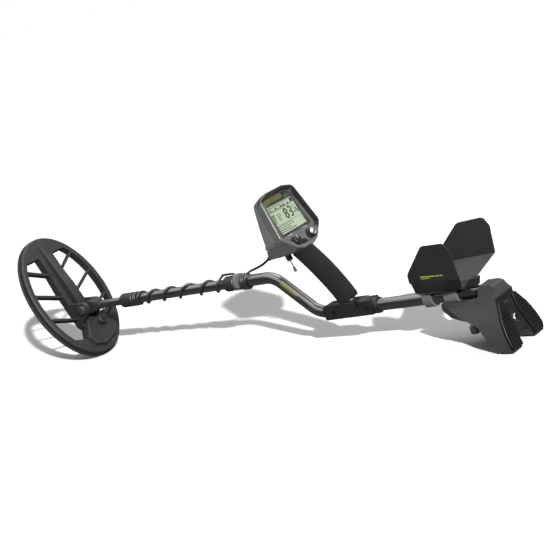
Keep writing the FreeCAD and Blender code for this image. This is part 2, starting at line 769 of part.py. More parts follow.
def grip_part(label, half_depth, half_width, bore):
    """A sleeve along the grip's arc, cut square to the display's underside and level with the pedestal."""
    body = new_body(label, STEM)
    centre = Vector(size("grip_arc_x"), size("grip_arc_z"), 0)
    radius = size("grip_arc_radius")
    path = new_sketch(body, "XZ")
    high, low = math.radians(46), math.radians(20)
    first = centre + Vector(math.cos(high), math.sin(high), 0) * radius
    middle = centre + Vector(math.cos((high + low) / 2), math.sin((high + low) / 2), 0) * radius
    last = centre + Vector(math.cos(low), math.sin(low), 0) * radius
    path.addGeometry(Part.Arc(first, middle, last), False)
    profile = across_path(body, (first.x, first.y), (math.sin(high), -math.cos(high)))
    ellipse(profile, half_depth, half_width)
    circle(profile, "0", "0", bore)
    pipe(body, path, profile)
    left = seen_from(STEM, DISPLAY, y=size("base_v") - 0.4, z=-80)
    right = seen_from(STEM, DISPLAY, y=size("base_v") - 0.4, z=80)
    crown = new_sketch(body, "XZ")
    polygon(crown, [(f"{left.x:.4f}", f"{left.z:.4f}"), (f"{right.x:.4f}", f"{right.z:.4f}"),
                    (f"{right.x - 60:.4f}", f"{right.z + 120:.4f}"),
                    (f"{left.x - 60:.4f}", f"{left.z + 120:.4f}")])
    pocket(body, crown, "120", both=True)
    foot = new_sketch(body, "XZ")
    rectangle(foot, "60", "320", "-260", "pedestal_top + 0.1")
    pocket(body, foot, "120", both=True)
    return body


# ---------------------------------------------------------------- display
def face_corners(inset=0.0):
    """The outline of the display face, drawn smaller by the inset."""
    return mirrored([(f"chin_half_width - {inset * 0.6:.2f}", f"chin_v + {inset * 0.9:.2f}"),
                     (f"hip_half_width - {inset}", f"hip_v + {inset * 0.3:.2f}"),
                     (f"shoulder_half_width - {inset}", f"shoulder_v - {inset * 0.7:.2f}"),
                     ("24", f"apex_v - 1.5 - {inset}")])


def face_sketch(body, offset, inset):
    """A sketch of the whole face outline, chin included, parallel to the face."""
    outline = new_sketch(body, "XY", offset)
    corners = face_corners(inset)
    corners.insert(0, ("14", f"base_v + {inset}"))
    corners.append(("-14", f"base_v + {inset}"))
    polygon(outline, corners)
    return outline


def side_corner(edge):
    """An edge test: runs from the front of a display shell to its back."""
    return isinstance(edge.Curve, Part.Line) and abs(edge.Curve.Direction.z) > 0.9 and edge.Length > 2


def display_front():
    body = new_body("display_front", DISPLAY)
    base = "parting + seal_half"
    pad(body, face_sketch(body, base, 0.0), f"rim_height - ({base})")
    round_edges(body, "face_corner_radius", side_corner)
    round_edges(body, "2.5", lies_at(2, size("rim_height")))
    recess = face_sketch(body, "rim_height", size("rim_width"))
    pocket(body, recess, "rim_height", taper="-12")
    hollow = face_sketch(body, base, size("shell_wall") + 0.6)
    pocket(body, hollow, f"-({base}) - shell_wall", back=True)
    glass = new_sketch(body, "XY", "1")
    rectangle(glass, "-lcd_half_width", "lcd_half_width", "-lcd_half_height", "lcd_half_height")
    pocket(body, glass, "6")
    for across in ("-knob_y", "knob_y"):
        well = new_sketch(body, "XY", "rim_height")
        circle(well, across, "knob_v", "knob_radius + 0.8")
        pocket(body, well, "rim_height")
        hole = new_sketch(body, "XY", "1")
        circle(hole, across, "knob_v", "knob_shaft + running_gap")
        pocket(body, hole, "6")
    bosses = new_sketch(body, "XY", base)
    for across, up in SCREW_PLACES:
        circle(bosses, str(across), str(up), "3.6")
    pad(body, bosses, f"-({base}) - 1")
    holes = new_sketch(body, "XY", base)
    for across, up in SCREW_PLACES:
        circle(holes, str(across), str(up), "1.55")
    pocket(body, holes, "5", back=True)
    return body


SCREW_PLACES = ((-42.5, 36.5), (42.5, 36.5), (-46.5, -33.5), (46.5, -33.5))


def display_rear():
    """The deep shell: its back slopes down from the top edge to a chin that sits on the grip."""
    body = new_body("display_rear", DISPLAY)
    top = "parting - seal_half"
    pad(body, face_sketch(body, top, 0.0), "62", back=True, taper="-13")
    round_edges(body, "face_corner_radius", lambda edge: edge.BoundBox.ZLength > 50)
    slope = new_sketch(body, "YZ")
    polygon(slope, [("80", "-9"), ("apex_v - 4", "-9.6"), ("3", "-28"), ("-27", "-38"), ("-38", "-52"),
                    ("-45", "-67"), ("-45", "-120"), ("80", "-120")])
    pocket(body, slope, "200", both=True)
    belly = new_sketch(body, "YZ")
    polygon(belly, [("base_v - 20", "-19"), ("base_v", "-19"), ("-55", "-62"), ("-46", "-72"),
                    ("-46", "-120"), ("base_v - 20", "-120")])
    pocket(body, belly, "200", both=True)
    hollow = new_sketch(body, "YZ")
    polygon(hollow, [("44", "0"), ("44", "-9.2"), ("3", "-24"), ("-26", "-33.5"), ("-50", "-36"),
                     ("-52", "0")])
    pocket(body, hollow, "60", both=True)
    for across, up in SCREW_PLACES:
        hole = new_sketch(body, "XY", top)
        circle(hole, str(across), str(up), "1.55")
        pocket(body, hole, "80")
        seat = new_sketch(body, "XY", "-11.2")
        circle(seat, str(across), str(up), "3.2")
        pocket(body, seat, "80")
    socket_frame = STEM.multiply(Placement(Vector(-1, 0, 35), Rotation(Y_AXIS, 65.9)))
    socket = placed_sketch(body, DISPLAY.inverse().multiply(socket_frame))
    circle(socket, "0", "0", "7.05")
    pocket(body, socket, "19.1", back=True)
    lever = placed_sketch(body, DISPLAY.inverse().multiply(toggle_frame()))
    circle(lever, "0", "0", "6")
    pocket(body, lever, "14.05", back=True)
    return body


def toggle_frame():
    """Z runs up the toggle switch; the origin is on its bush, just under the display's chin."""
    return STEM.multiply(Placement(Vector(46.0, 0, 28.0), Rotation(Y_AXIS, -11)))


def display_seal():
    body = new_body("display_seal", DISPLAY)
    pad(body, face_sketch(body, "parting - seal_half + 0.02", 0.7), "2 * seal_half - 0.04")
    inside = face_sketch(body, "parting + seal_half", 3.4)
    pocket(body, inside, "3")
    holes = new_sketch(body, "XY", "parting + seal_half")
    for across, up in SCREW_PLACES:
        circle(holes, str(across), str(up), "4")
    pocket(body, holes, "3")
    return body


def display_window():
    """The clear cover over the LCD, set flush in the bottom of the recess."""
    body = new_body("display_window", DISPLAY)
    outline = new_sketch(body, "XY", "0.05")
    polygon(outline, mirrored([("43", "-33"), ("41.5", "35"), ("24", "41.8")]))
    pad(body, outline, "1.2")
    return body


def lcd_panel():
    body = new_body("lcd_panel", DISPLAY)
    outline = new_sketch(body, "XY", "-shell_wall - 0.1")
    rectangle(outline, "-lcd_half_width - 1.5", "lcd_half_width + 1.5", "-lcd_half_height - 1.5",
              "lcd_half_height + 1.5")
    pad(body, outline, "2.2", back=True)
    return body


def circuit_board():
    body = new_body("circuit_board", DISPLAY)
    outline = new_sketch(body, "XY", "-6.2")
    polygon(outline, mirrored([("24", "-57"), ("34", "-48"), ("36", "-30"), ("36", "38")]))
    pad(body, outline, "1.6", back=True)
    chips = new_sketch(body, "XY", "-7.8")
    rectangle(chips, "-24", "-8", "8", "24")
    rectangle(chips, "4", "22", "14", "22")
    rectangle(chips, "-20", "-14", "-12", "-2")
    pad(body, chips, "2", back=True)
    return body


def speaker():
    frame = turned_to(shifted(DISPLAY, 6, -26, -20), ALONG_Z)
    return turned("speaker", frame, [("0", "0"), ("10", "0"), ("12", "12"), ("12", "15"), ("7", "15"),
                                     ("4", "9"), ("0", "9")])


def rotary_switches():
    """The two rotary switches on the board, behind the knobs."""
    switches = []
    for number, across in enumerate((-size("knob_y"), size("knob_y"))):
        body = new_body(f"rotary_switch_{number}", shifted(DISPLAY, across, size("knob_v")))
        outline = new_sketch(body, "XY", "-6.1")
        rectangle(outline, "-5.5", "5.5", "-5.5", "5.5")
        pad(body, outline, "3")
        switches.append(body)
    return group("rotary_switches", switches)


def knob(label, across, marks):
    """A fluted control knob with its shaft; the marks are grooves on its face."""
    frame = turned_to(shifted(DISPLAY, across, size("knob_v")), ALONG_Z)
    body = turned(label, frame, [
        ("-3", "0"), ("knob_height", "0"), ("knob_height", "knob_radius - 2.4"),
        ("knob_height - 1.2", "knob_radius - 1.2"),
        ("3.4", "knob_radius - 0.6"), ("2.4", "knob_radius"), ("0.6", "knob_radius"), ("0.6", "knob_shaft"),
        ("-3", "knob_shaft")])
    flutes = new_sketch(body, "YZ", "knob_height + 1")
    count = 12
    for step in range(count):
        angle = 2 * math.pi * (step + 0.5) / count
        circle(flutes, f"(knob_radius + 0.35) * {math.cos(angle):.5f}",
               f"(knob_radius + 0.35) * {math.sin(angle):.5f}", "1.5")
    pocket(body, flutes, "knob_height - 2.9")
    if marks:
        groove = new_sketch(body, "YZ", "knob_height")
        rectangle(groove, "-0.8", "0.8", "1.5", "knob_radius - 1")
        pocket(body, groove, "0.7")
    return body


def housing_screws():
    screws = []
    for number, (across, up) in enumerate(SCREW_PLACES):
        frame = turned_to(shifted(DISPLAY, across, up), ALONG_Z)
        screws.append(turned(f"housing_screw_{number}", frame, [
            ("-13.2", "0"), ("-3.2", "0"), ("-3.2", "1.5"), ("-11.25", "1.5"), ("-11.25", "2.9"),
            ("-12.4", "2.9"), ("-13.2", "2")]))
    return group("housing_screws", screws)


def toggle_switch():
    """The switch can in the chin, with its threaded bush."""
    frame = turned_to(toggle_frame(), ALONG_Z)
    return turned("toggle_switch", frame,
                  [("-3", "3.4"), ("-3", "4"), ("0.1", "4"), ("0.1", "5.9"), ("13.9", "5.9"), ("13.9", "0"),
                                           ("7", "0"), ("7", "3.4")])


def toggle_nut():
    body = new_body("toggle_nut", toggle_frame())
    ring = new_sketch(body, "XY", "-2.6")
    corners = [(f"{6.2 * math.cos(k * math.pi / 3):.4f}",
                f"{6.2 * math.sin(k * math.pi / 3):.4f}") for k in range(6)]
    polygon(ring, corners)
    circle(ring, "0", "0", "4.03")
    pad(body, ring, "2")
    return body


def toggle_lever():
    """A bat lever with a ball in the bush; it tips about the ball, round Y."""
    frame = turned_to(toggle_frame(), Rotation(Y_AXIS, 90))
    return turned("toggle_lever", frame,
                  [("-5.5", "0"), ("-5.5", "1"), ("-4.4", "1.9"), ("-3.2", "2.2"), ("-2", "1.9"),
                                          ("-0.9", "1"), ("15", "1.5"), ("15", "0")])


def toggle_tip():
    frame = turned_to(toggle_frame(), Rotation(Y_AXIS, 90))
    return turned("toggle_tip", frame, [("15.05", "0"), ("15.05", "1.9"), ("17", "2.3"), ("23", "3"),
                                        ("24.8", "2.4"), ("25.4", "0")])


# ---------------------------------------------------------------- arm cup
def cup_section(body, along):
    """The U of the cup at one station: the floor, the sloping lower panels and the steep upper panels."""
    fold_z, top_z = -34.0, 36.0
    floor_half = 11.0 + 0.107 * (along - 296)
    fold_half = 45.0 + 0.147 * (along - 320)
    top_half = 59.5 + 0.146 * (along - 373)
    section = new_sketch(body, "YZ", str(along))
    polygon(section, mirrored([(f"{floor_half:.3f} + cup_wall * 0.4", "cup_floor - cup_wall"),
                               (f"{fold_half:.3f} + cup_wall * 0.9", f"{fold_z} - cup_wall * 0.4"),
                               (f"{top_half:.3f} + cup_wall", str(top_z)), (f"{top_half:.3f}", str(top_z)),
                               (f"{fold_half:.3f}", str(fold_z)), (f"{floor_half:.3f}", "cup_floor")]))
    return section


CUP_OUTLINE = ((302, -80), (302, -62), (318, -40), (321, -20), (372, 27.6), (420, 28.4), (429, 12),
               (427.5, -34), (401, -62), (401, -80))


def arm_cup():
    """A folded cup: six-sided wings either side of the forearm, wider at the elbow."""
    body = new_body("arm_cup", STEM)
    sections = [cup_section(body, along) for along in (292.0, 440.0)]
    loft = body.newObject("PartDesign::AdditiveLoft", "arm_cup_loft")
    loft.Profile = sections[0]
    loft.Sections = sections[1:]
    loft.Ruled = True
    finish_feature(loft, True)
    waste = new_sketch(body, "XZ")
    rectangle(waste, "280", "460", "-90", "60")
    polygon(waste, [(str(x), str(z)) for x, z in CUP_OUTLINE])
    pocket(body, waste, "300", both=True)
    corners = CUP_OUTLINE[3:7]

    def wing_corner(edge):
        middle = edge.CenterOfMass
        near = any(abs(middle.x - x) < 1.5 and abs(middle.z - z) < 1.5 for x, z in corners)
        return near and edge.Length < 6
    round_edges(body, "10", wing_corner)
    return body


def arm_cup_plate():
    """The strip under the cup that lies along the top of the rear tube."""
    body = new_body("arm_cup_plate", STEM)
    outline = new_sketch(body, "XZ")
    rectangle(outline, "303", "397", "upper_radius - rear_drop + 0.1", "cup_floor - cup_wall - 0.05")
    pad(body, outline, "26", both=True)
    return body


def arm_cup_bracket():
    """The block behind the cup that ties its floor to the strip."""
    body = new_body("arm_cup_bracket", STEM)
    outline = new_sketch(body, "XZ")
    polygon(outline, [("397.1", "upper_radius - rear_drop + 0.15"),
                      ("417", "upper_radius - rear_drop + 0.15"), ("422", "-54"),
                      ("410", "-54"), ("402.5", "-61.5"), ("401.6", "cup_floor - cup_wall - 0.1"),
                      ("397.1", "cup_floor - cup_wall - 0.1")])
    pad(body, outline, "16", both=True)
    return body


def clamp_strap(label, start, end):
    """A U-shaped strap under the rear tube."""
    body = new_body(label, REAR)
    outline = new_sketch(body, "YZ", start)
    rectangle(outline, "-strap_radius", "strap_radius", "0", "upper_radius - 0.4")
    pad(body, outline, f"{end} - ({start})")
    round_part = new_sketch(body, "YZ", start)
    circle(round_part, "0", "0", "strap_radius")
    pad(body, round_part, f"{end} - ({start})")
    top = new_sketch(body, "YZ", start)
    rectangle(top, "-30", "30", "upper_radius - 0.4", "40")
    pocket(body, top, f"{end} - ({start})", back=True)
    bore = new_sketch(body, "YZ", start)
    circle(bore, "0", "0", "upper_radius + running_gap")
    pocket(body, bore, f"{end} - ({start})", back=True)
    return body


def arm_cup_straps():
    return group("arm_cup_straps", [clamp_strap("front_strap", "310", "328"),
                                    clamp_strap("rear_strap", "354", "380")])


# ---------------------------------------------------------------- battery housing
BODY_OUTLINE = (("352", "-86"), ("350", "-97"), ("368", "-110"), ("404", "-116"), ("424", "-127"),
                ("441", "-151"),
                ("454.7", "-170.5"), ("480.5", "-172.3"), ("panel_x", "panel_z"), ("462", "-86"),
                ("456", "-70"), ("449", "-66"),
                ("428", "-66"), ("424", "-86"))
LEG_OUTLINE = (("14", "-60"), ("19", "-70"), ("22", "-80"), ("27", "-86"), ("30", "-94.4"),
               ("46", "-120.5"), ("55.5", "-145"),
               ("57.2", "-165"), ("57.2", "-190"))


def battery_housing():
    """One moulding: a nose, a socket for the rear tube, and two splayed legs that hold the cells."""
    body = new_body("battery_housing", STEM)
    side = new_sketch(body, "XZ")
    polygon(side, list(BODY_OUTLINE))
    pad(body, side, "130", both=True)
    for sign in ("", "-"):
        outside = new_sketch(body, "YZ", "340")
        corners = [(f"{sign}({across})", up) for across, up in LEG_OUTLINE]
        polygon(outside, corners + [(f"{sign}(80)", "-190"), (f"{sign}(80)", "-50"),
                                    (f"{sign}(14)", "-50")])
        pocket(body, outside, "160", back=True)
        plan = new_sketch(body, "XY")
        polygon(plan, [("345", f"{sign}(22)"), ("424", f"{sign}(53)"), ("424", f"{sign}(80)"),
                       ("345", f"{sign}(80)")])
        pocket(body, plan, "400", both=True)
    saddle = new_sketch(body, "YZ", "340")
    rectangle(saddle, "-strap_radius - 1.6", "strap_radius + 1.6", "-rear_drop - strap_radius - 2.5", "-50")
    pocket(body, saddle, "72", back=True)
    tunnel = new_sketch(body, "YZ", "400")
    circle(tunnel, "0", "-rear_drop", "upper_radius + 0.02")
    pocket(body, tunnel, "rear_tube_rear + 0.5 - 400", back=True)
    crotch = new_sketch(body, "YZ", "400")
    polygon(crotch, [("-19", "-190"), ("19", "-190"), ("17", "-160"), ("10", "-152.5"), ("-10", "-152.5"),
                     ("-17", "-160")])
    pocket(body, crotch, "100", back=True)
    for sign in (1, -1):
        bay = placed_sketch(body, STEM.inverse().multiply(cell_frame(sign)))
        rectangle(bay, "-cell_bay_width / 2", "cell_bay_width / 2", "-cell_bay_length", "0")
        pocket(body, bay, "cell_bay_depth")
    socket = placed_sketch(body, STEM.inverse().multiply(shifted(PANEL, y=size("jack_v"))))
    circle(socket, "0", "0", "jack_body_radius + 0.02")
    pocket(body, socket, "jack_length + 3")
    screw_hole = new_sketch(body, "XY", "-rear_drop")
    circle(screw_hole, "stand_knob_x", "0", "3.05")
    pocket(body, screw_hole, "60")
    latch_recess = placed_sketch(body, STEM.inverse().multiply(PANEL))
    rectangle(latch_recess, "-9", "9", "-9", "1")
    pocket(body, latch_recess, "4")
    return body


def cell_frame(side):
    """Y runs up the cell bay, which splays with the leg; Z points out of the bay's mouth."""
    return turned_to(shifted(PANEL, 28.0 * side, -13.0), Rotation(Vector(0, 0, 1), 17.7 * side))


def battery_cells():
    cells = []
    for side in (1, -1):
        for row, depth in enumerate((-7.7, -22.2)):
            frame = turned_to(shifted(cell_frame(side), y=-0.4, z=depth), Rotation(Vector(0, 0, 1), -90))
            if row:
                frame = turned_to(shifted(frame, x=size("cell_length")), Rotation(Vector(0, 0, 1), 180))
            cells.append(turned(f"cell_{side}_{row}", frame, [
                ("0", "0"), ("cell_length", "0"), ("cell_length", "2.7"), ("cell_length - 1.3", "2.7"),
                ("cell_length - 1.3", "cell_radius - 0.5"), ("cell_length - 1.8", "cell_radius"),
                ("0.5", "cell_radius"), ("0", "cell_radius - 0.5")]))
    return group("battery_cells", cells)


def battery_contacts():
    """Pressed cups at the lower end of the bays that bear on the cells."""
    contacts = []
    for side in (1, -1):
        for row, depth in enumerate((-7.7, -22.2)):
            frame = turned_to(shifted(cell_frame(side), y=-0.5 - size("cell_length"), z=depth),
                              Rotation(Vector(0, 0, 1), -90))
            contacts.append(turned(f"contact_{side}_{row}", frame,
                                   [("0.05", "0"), ("0.05", "2.2"), ("1", "3"), ("1.6", "5"), ("2", "5"),
                                    ("2", "0")]))
    return group("battery_contacts", contacts)


def battery_door(label, side):
    """A ribbed cover that slides down off the leg."""
    body = new_body(label, PANEL)
    corners = [(f"{side} * {across}", str(up)) for across, up in
               ((17, -2), (30, -2), (45.5, -27), (54, -52), (56, -73), (51, -78.5), (25, -78.5),
                (20.5, -58), (15.5, -26))]
    outline = new_sketch(body, "XY", "door_gap")
    polygon(outline, corners)
    pad(body, outline, "door_thickness")
    round_edges(body, "1.5", lies_at(2, size("door_gap") + size("door_thickness")))
    ribs = new_sketch(body, "XY", "door_gap + door_thickness")
    count = 10
    for step in range(count):
        up = -8.5 - 7.3 * step
        inner = 21.5 + 0.11 * (-8.5 - up)
        reach = min(29.0 + 0.62 * (-2 - up), 53.0 - 0.1 * abs(up + 60)) - 4.0
        polygon(ribs, [(f"{side} * {inner:.3f}", f"{up - 1.5:.3f}"),
                       (f"{side} * {reach:.3f}", f"{up - 1.5:.3f}"),
                       (f"{side} * {reach:.3f}", f"{up + 1.5:.3f}"),
                       (f"{side} * {inner:.3f}", f"{up + 1.5:.3f}")])
    pad(body, ribs, "1.8")
    return body


def door_latch():
    """A spring catch in the panel above the jack."""
    body = new_body("door_latch", PANEL)
    outline = new_sketch(body, "XY", "-3.9")
    rectangle(outline, "-8", "8", "-5", "0.5")
    pad(body, outline, "3.6")
    ridge = new_sketch(body, "XY", "-0.3")
    rectangle(ridge, "-6", "6", "-3.2", "-1.4")
    pad(body, ridge, "1.4")
    return body


def headphone_jack():
    frame = turned_to(shifted(PANEL, y=size("jack_v")), ALONG_Z)
    return turned("headphone_jack", frame,
                  [("-jack_length", "0"), ("-jack_length", "jack_body_radius"), ("3", "jack_body_radius"),
                                            ("3", "jack_radius"), ("3 - jack_length", "jack_radius"),
                                            ("3 - jack_length", "0")])


def jack_nut():
    frame = turned_to(shifted(PANEL, y=size("jack_v")), ALONG_Z)
    return turned("jack_nut", frame, [("0.05", "jack_body_radius + 0.03"), ("0.05", "7.6"), ("1.8", "7.6"),
                                      ("2.4", "7"), ("2.4", "jack_body_radius + 0.03")])


def foot_pads():
    """A flat rubber sole under each leg."""
    pads = []
    for side in (1, -1):
        body = new_body(f"foot_pad_{side}", ROW)
        outline = new_sketch(body, "XY")
        polygon(outline, [("466.5", f"{side} * 21"), ("491.5", f"{side} * 21"), ("491.5", f"{side} * 55.5"),
                          ("466.5", f"{side} * 55.5")])
        pad(body, outline, "pad_thickness - 0.05")
        round_edges(body, "3", runs_along(2))
        pads.append(body)
    return group("foot_pads", pads)


def stand_knob():
    """The thumb knob under the nose that pulls the housing up onto the rear tube."""
    frame = turned_to(shifted(STEM, x=size("stand_knob_x"), z=-113.4), ALONG_Z)
    return turned("stand_knob", frame, [("-38", "0"), ("-38", "6"), ("-36", "8.5"), ("-26", "9"),
                                        ("-23", "6"), ("-19", "4"), ("-6", "4"),
                                        ("-6", "3"), ("8", "3"), ("8", "0")])


# ---------------------------------------------------------------- build, check and write
def build_pieces():
    """Every sub-part, in the order in which the object would be put together."""
    return [
        coil_housing(), coil_cover(), winding("transmit_winding", 1, "-9"),
        winding("receive_winding", -1, "-14.5"),
        coil_gland(), coil_cable(), pivot_bolt(), pivot_nut(), pivot_washers(),
        rod_tip(), tube("lower_rod", STEM, "lower_front", "lower_rear", "lower_radius", "lower_bore"),
        lower_cable(),
        lock_collar("lower_lock_collar", "-408", "collar_length", "collar_radius", "lower_radius + 0.3",
                    "middle_front - 1.5",
                    "middle_radius + running_gap"),
        collet("lower_collet", "-403.5", "middle_bore"),
        tube("middle_rod", STEM, "middle_front", "middle_rear", "middle_radius", "middle_bore"),
        middle_cable(),
        lock_collar("upper_lock_collar", "-124", "upper_collar_length", "upper_collar_radius", "middle_radius + 0.3",
                    "upper_front - 1.5",
                    "upper_radius + running_gap"),
        collet("upper_collet", "-119.7", "upper_bore"),
        upper_rod(), upper_cable(), cable_strap(), cable_plug(),
        saddle_half("saddle_left", -1), saddle_half("saddle_right", 1), saddle_screws(), stem_clamp(),
        rear_tube(),
        grip_part("grip_core", "grip_core_radius", "grip_core_radius - 0.001", "grip_core_bore"),
        grip_part("grip_foam", "grip_half_depth", "grip_half_width", "grip_core_radius + 0.05"),
        display_front(), display_rear(), display_seal(), display_window(), lcd_panel(), circuit_board(),
        speaker(),
        rotary_switches(), housing_screws(), knob("settings_knob", -size("knob_y"), True),
        knob("menu_knob", size("knob_y"), False),
        toggle_switch(), toggle_nut(), toggle_lever(), toggle_tip(),
        arm_cup(), arm_cup_plate(), arm_cup_bracket(), arm_cup_straps(),
        battery_housing(), battery_door("battery_door_left", -1), battery_door("battery_door_right", 1),
        door_latch(),
        battery_cells(), battery_contacts(), headphone_jack(), jack_nut(), foot_pads(), stand_knob(),
    ]


pieces = build_pieces()
doc.recompute()
for thing in doc.Objects:
    if "Invalid" in thing.State or "Error" in thing.State:
        raise RuntimeError(f"{thing.Label} failed: {thing.State}")
os.makedirs("parts", exist_ok=True)
for piece in pieces:
    if piece.Shape.isNull() or not piece.Shape.isValid() or not piece.Shape.Solids:
        raise RuntimeError(f"{piece.Label} has no valid shape")
    piece.Shape.exportStep(f"parts/{piece.Label}.step")
print(f"{len(pieces)} pieces written")
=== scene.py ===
"""Metal detector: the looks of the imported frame.

Metres, in the row frame. Helpers take millimetres in one of four working frames, worked out from the
record's joints and the jack nut's box: the stem (X runs back along it), the coil, the display face and
the rear panel.
"""
import json
import math

import bpy
from mathutils import Matrix, Vector


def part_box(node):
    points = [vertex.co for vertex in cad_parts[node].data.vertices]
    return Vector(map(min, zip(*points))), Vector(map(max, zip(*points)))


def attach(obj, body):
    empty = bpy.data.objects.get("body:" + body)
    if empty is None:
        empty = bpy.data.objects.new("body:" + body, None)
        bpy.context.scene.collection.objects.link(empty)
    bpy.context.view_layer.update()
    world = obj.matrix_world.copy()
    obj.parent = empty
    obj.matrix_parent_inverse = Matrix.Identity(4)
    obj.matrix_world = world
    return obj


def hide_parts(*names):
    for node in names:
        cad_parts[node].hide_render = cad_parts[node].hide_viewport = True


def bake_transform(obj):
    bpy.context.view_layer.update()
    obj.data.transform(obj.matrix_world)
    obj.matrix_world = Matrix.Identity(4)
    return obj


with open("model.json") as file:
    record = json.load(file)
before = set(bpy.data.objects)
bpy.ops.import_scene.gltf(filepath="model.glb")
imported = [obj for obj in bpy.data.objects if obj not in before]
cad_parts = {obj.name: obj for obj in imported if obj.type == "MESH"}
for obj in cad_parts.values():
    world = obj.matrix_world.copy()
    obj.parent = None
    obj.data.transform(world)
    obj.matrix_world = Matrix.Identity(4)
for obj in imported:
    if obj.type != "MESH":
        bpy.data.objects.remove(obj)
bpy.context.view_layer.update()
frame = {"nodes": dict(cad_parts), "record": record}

MM = 0.001
NODES = frame["nodes"]
JOINT = {joint["name"]: joint for joint in frame["record"]["behaviour"]["joints"]}


# ---------------------------------------------------------------- working frames
def axes(origin, x_axis, y_axis):
    """A frame from its origin and two square axes."""
    x_axis = Vector(x_axis).normalized()
    y_axis = Vector(y_axis).normalized()
    rotation = Matrix((x_axis, y_axis, x_axis.cross(y_axis))).transposed().to_4x4()
    return Matrix.Translation(origin) @ rotation


def at(place, x=0.0, y=0.0, z=0.0):
    """A point given in millimetres in a working frame, in the row frame."""
    return place @ Vector((x * MM, y * MM, z * MM))


def anchored(anchor, x_axis, y_axis, station):
    """The working frame in which a row-frame point sits at this station, in millimetres."""
    return axes(anchor, x_axis, y_axis) @ Matrix.Translation(Vector(station) * -MM)


ACROSS = Vector((0, 1, 0))
KNOB_STATION = -49.0
KNOB_OFFSET = 23.0
COIL_TURN = math.radians(68.2)
PIVOT_IN_STEM = (-506.0, 0.0, 0.0)
PIVOT_IN_COIL = (44.0, 0.0, 27.2)
KNOBS_IN_DISPLAY = (0.0, KNOB_STATION, 0.0)
NUT_IN_PANEL = (0.0, -39.0, 1.225)

pivot = Vector(JOINT["coil_tilt"]["pos_m"])
stem_axis = Vector(JOINT["middle_rod_slide"]["axis"])
STEM = anchored(pivot, stem_axis, ACROSS, PIVOT_IN_STEM)

coil_axis = Matrix.Rotation(COIL_TURN, 3, ACROSS) @ stem_axis
COIL = anchored(pivot, coil_axis, ACROSS, PIVOT_IN_COIL)

knob_middle = (Vector(JOINT["settings_knob_turn"]["pos_m"]) + Vector(JOINT["menu_knob_turn"]["pos_m"])) / 2
face_axis = Vector(JOINT["settings_knob_turn"]["axis"])
face_up = face_axis.cross(ACROSS)
DISPLAY = anchored(knob_middle, ACROSS, face_up, KNOBS_IN_DISPLAY)

nut_low, nut_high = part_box("jack_nut")
nut_middle = (Vector(nut_low) + Vector(nut_high)) / 2
panel_up = -Vector(JOINT["left_door_slide"]["axis"])
panel_axis = ACROSS.cross(panel_up)
PANEL = anchored(nut_middle, ACROSS, panel_up, NUT_IN_PANEL)


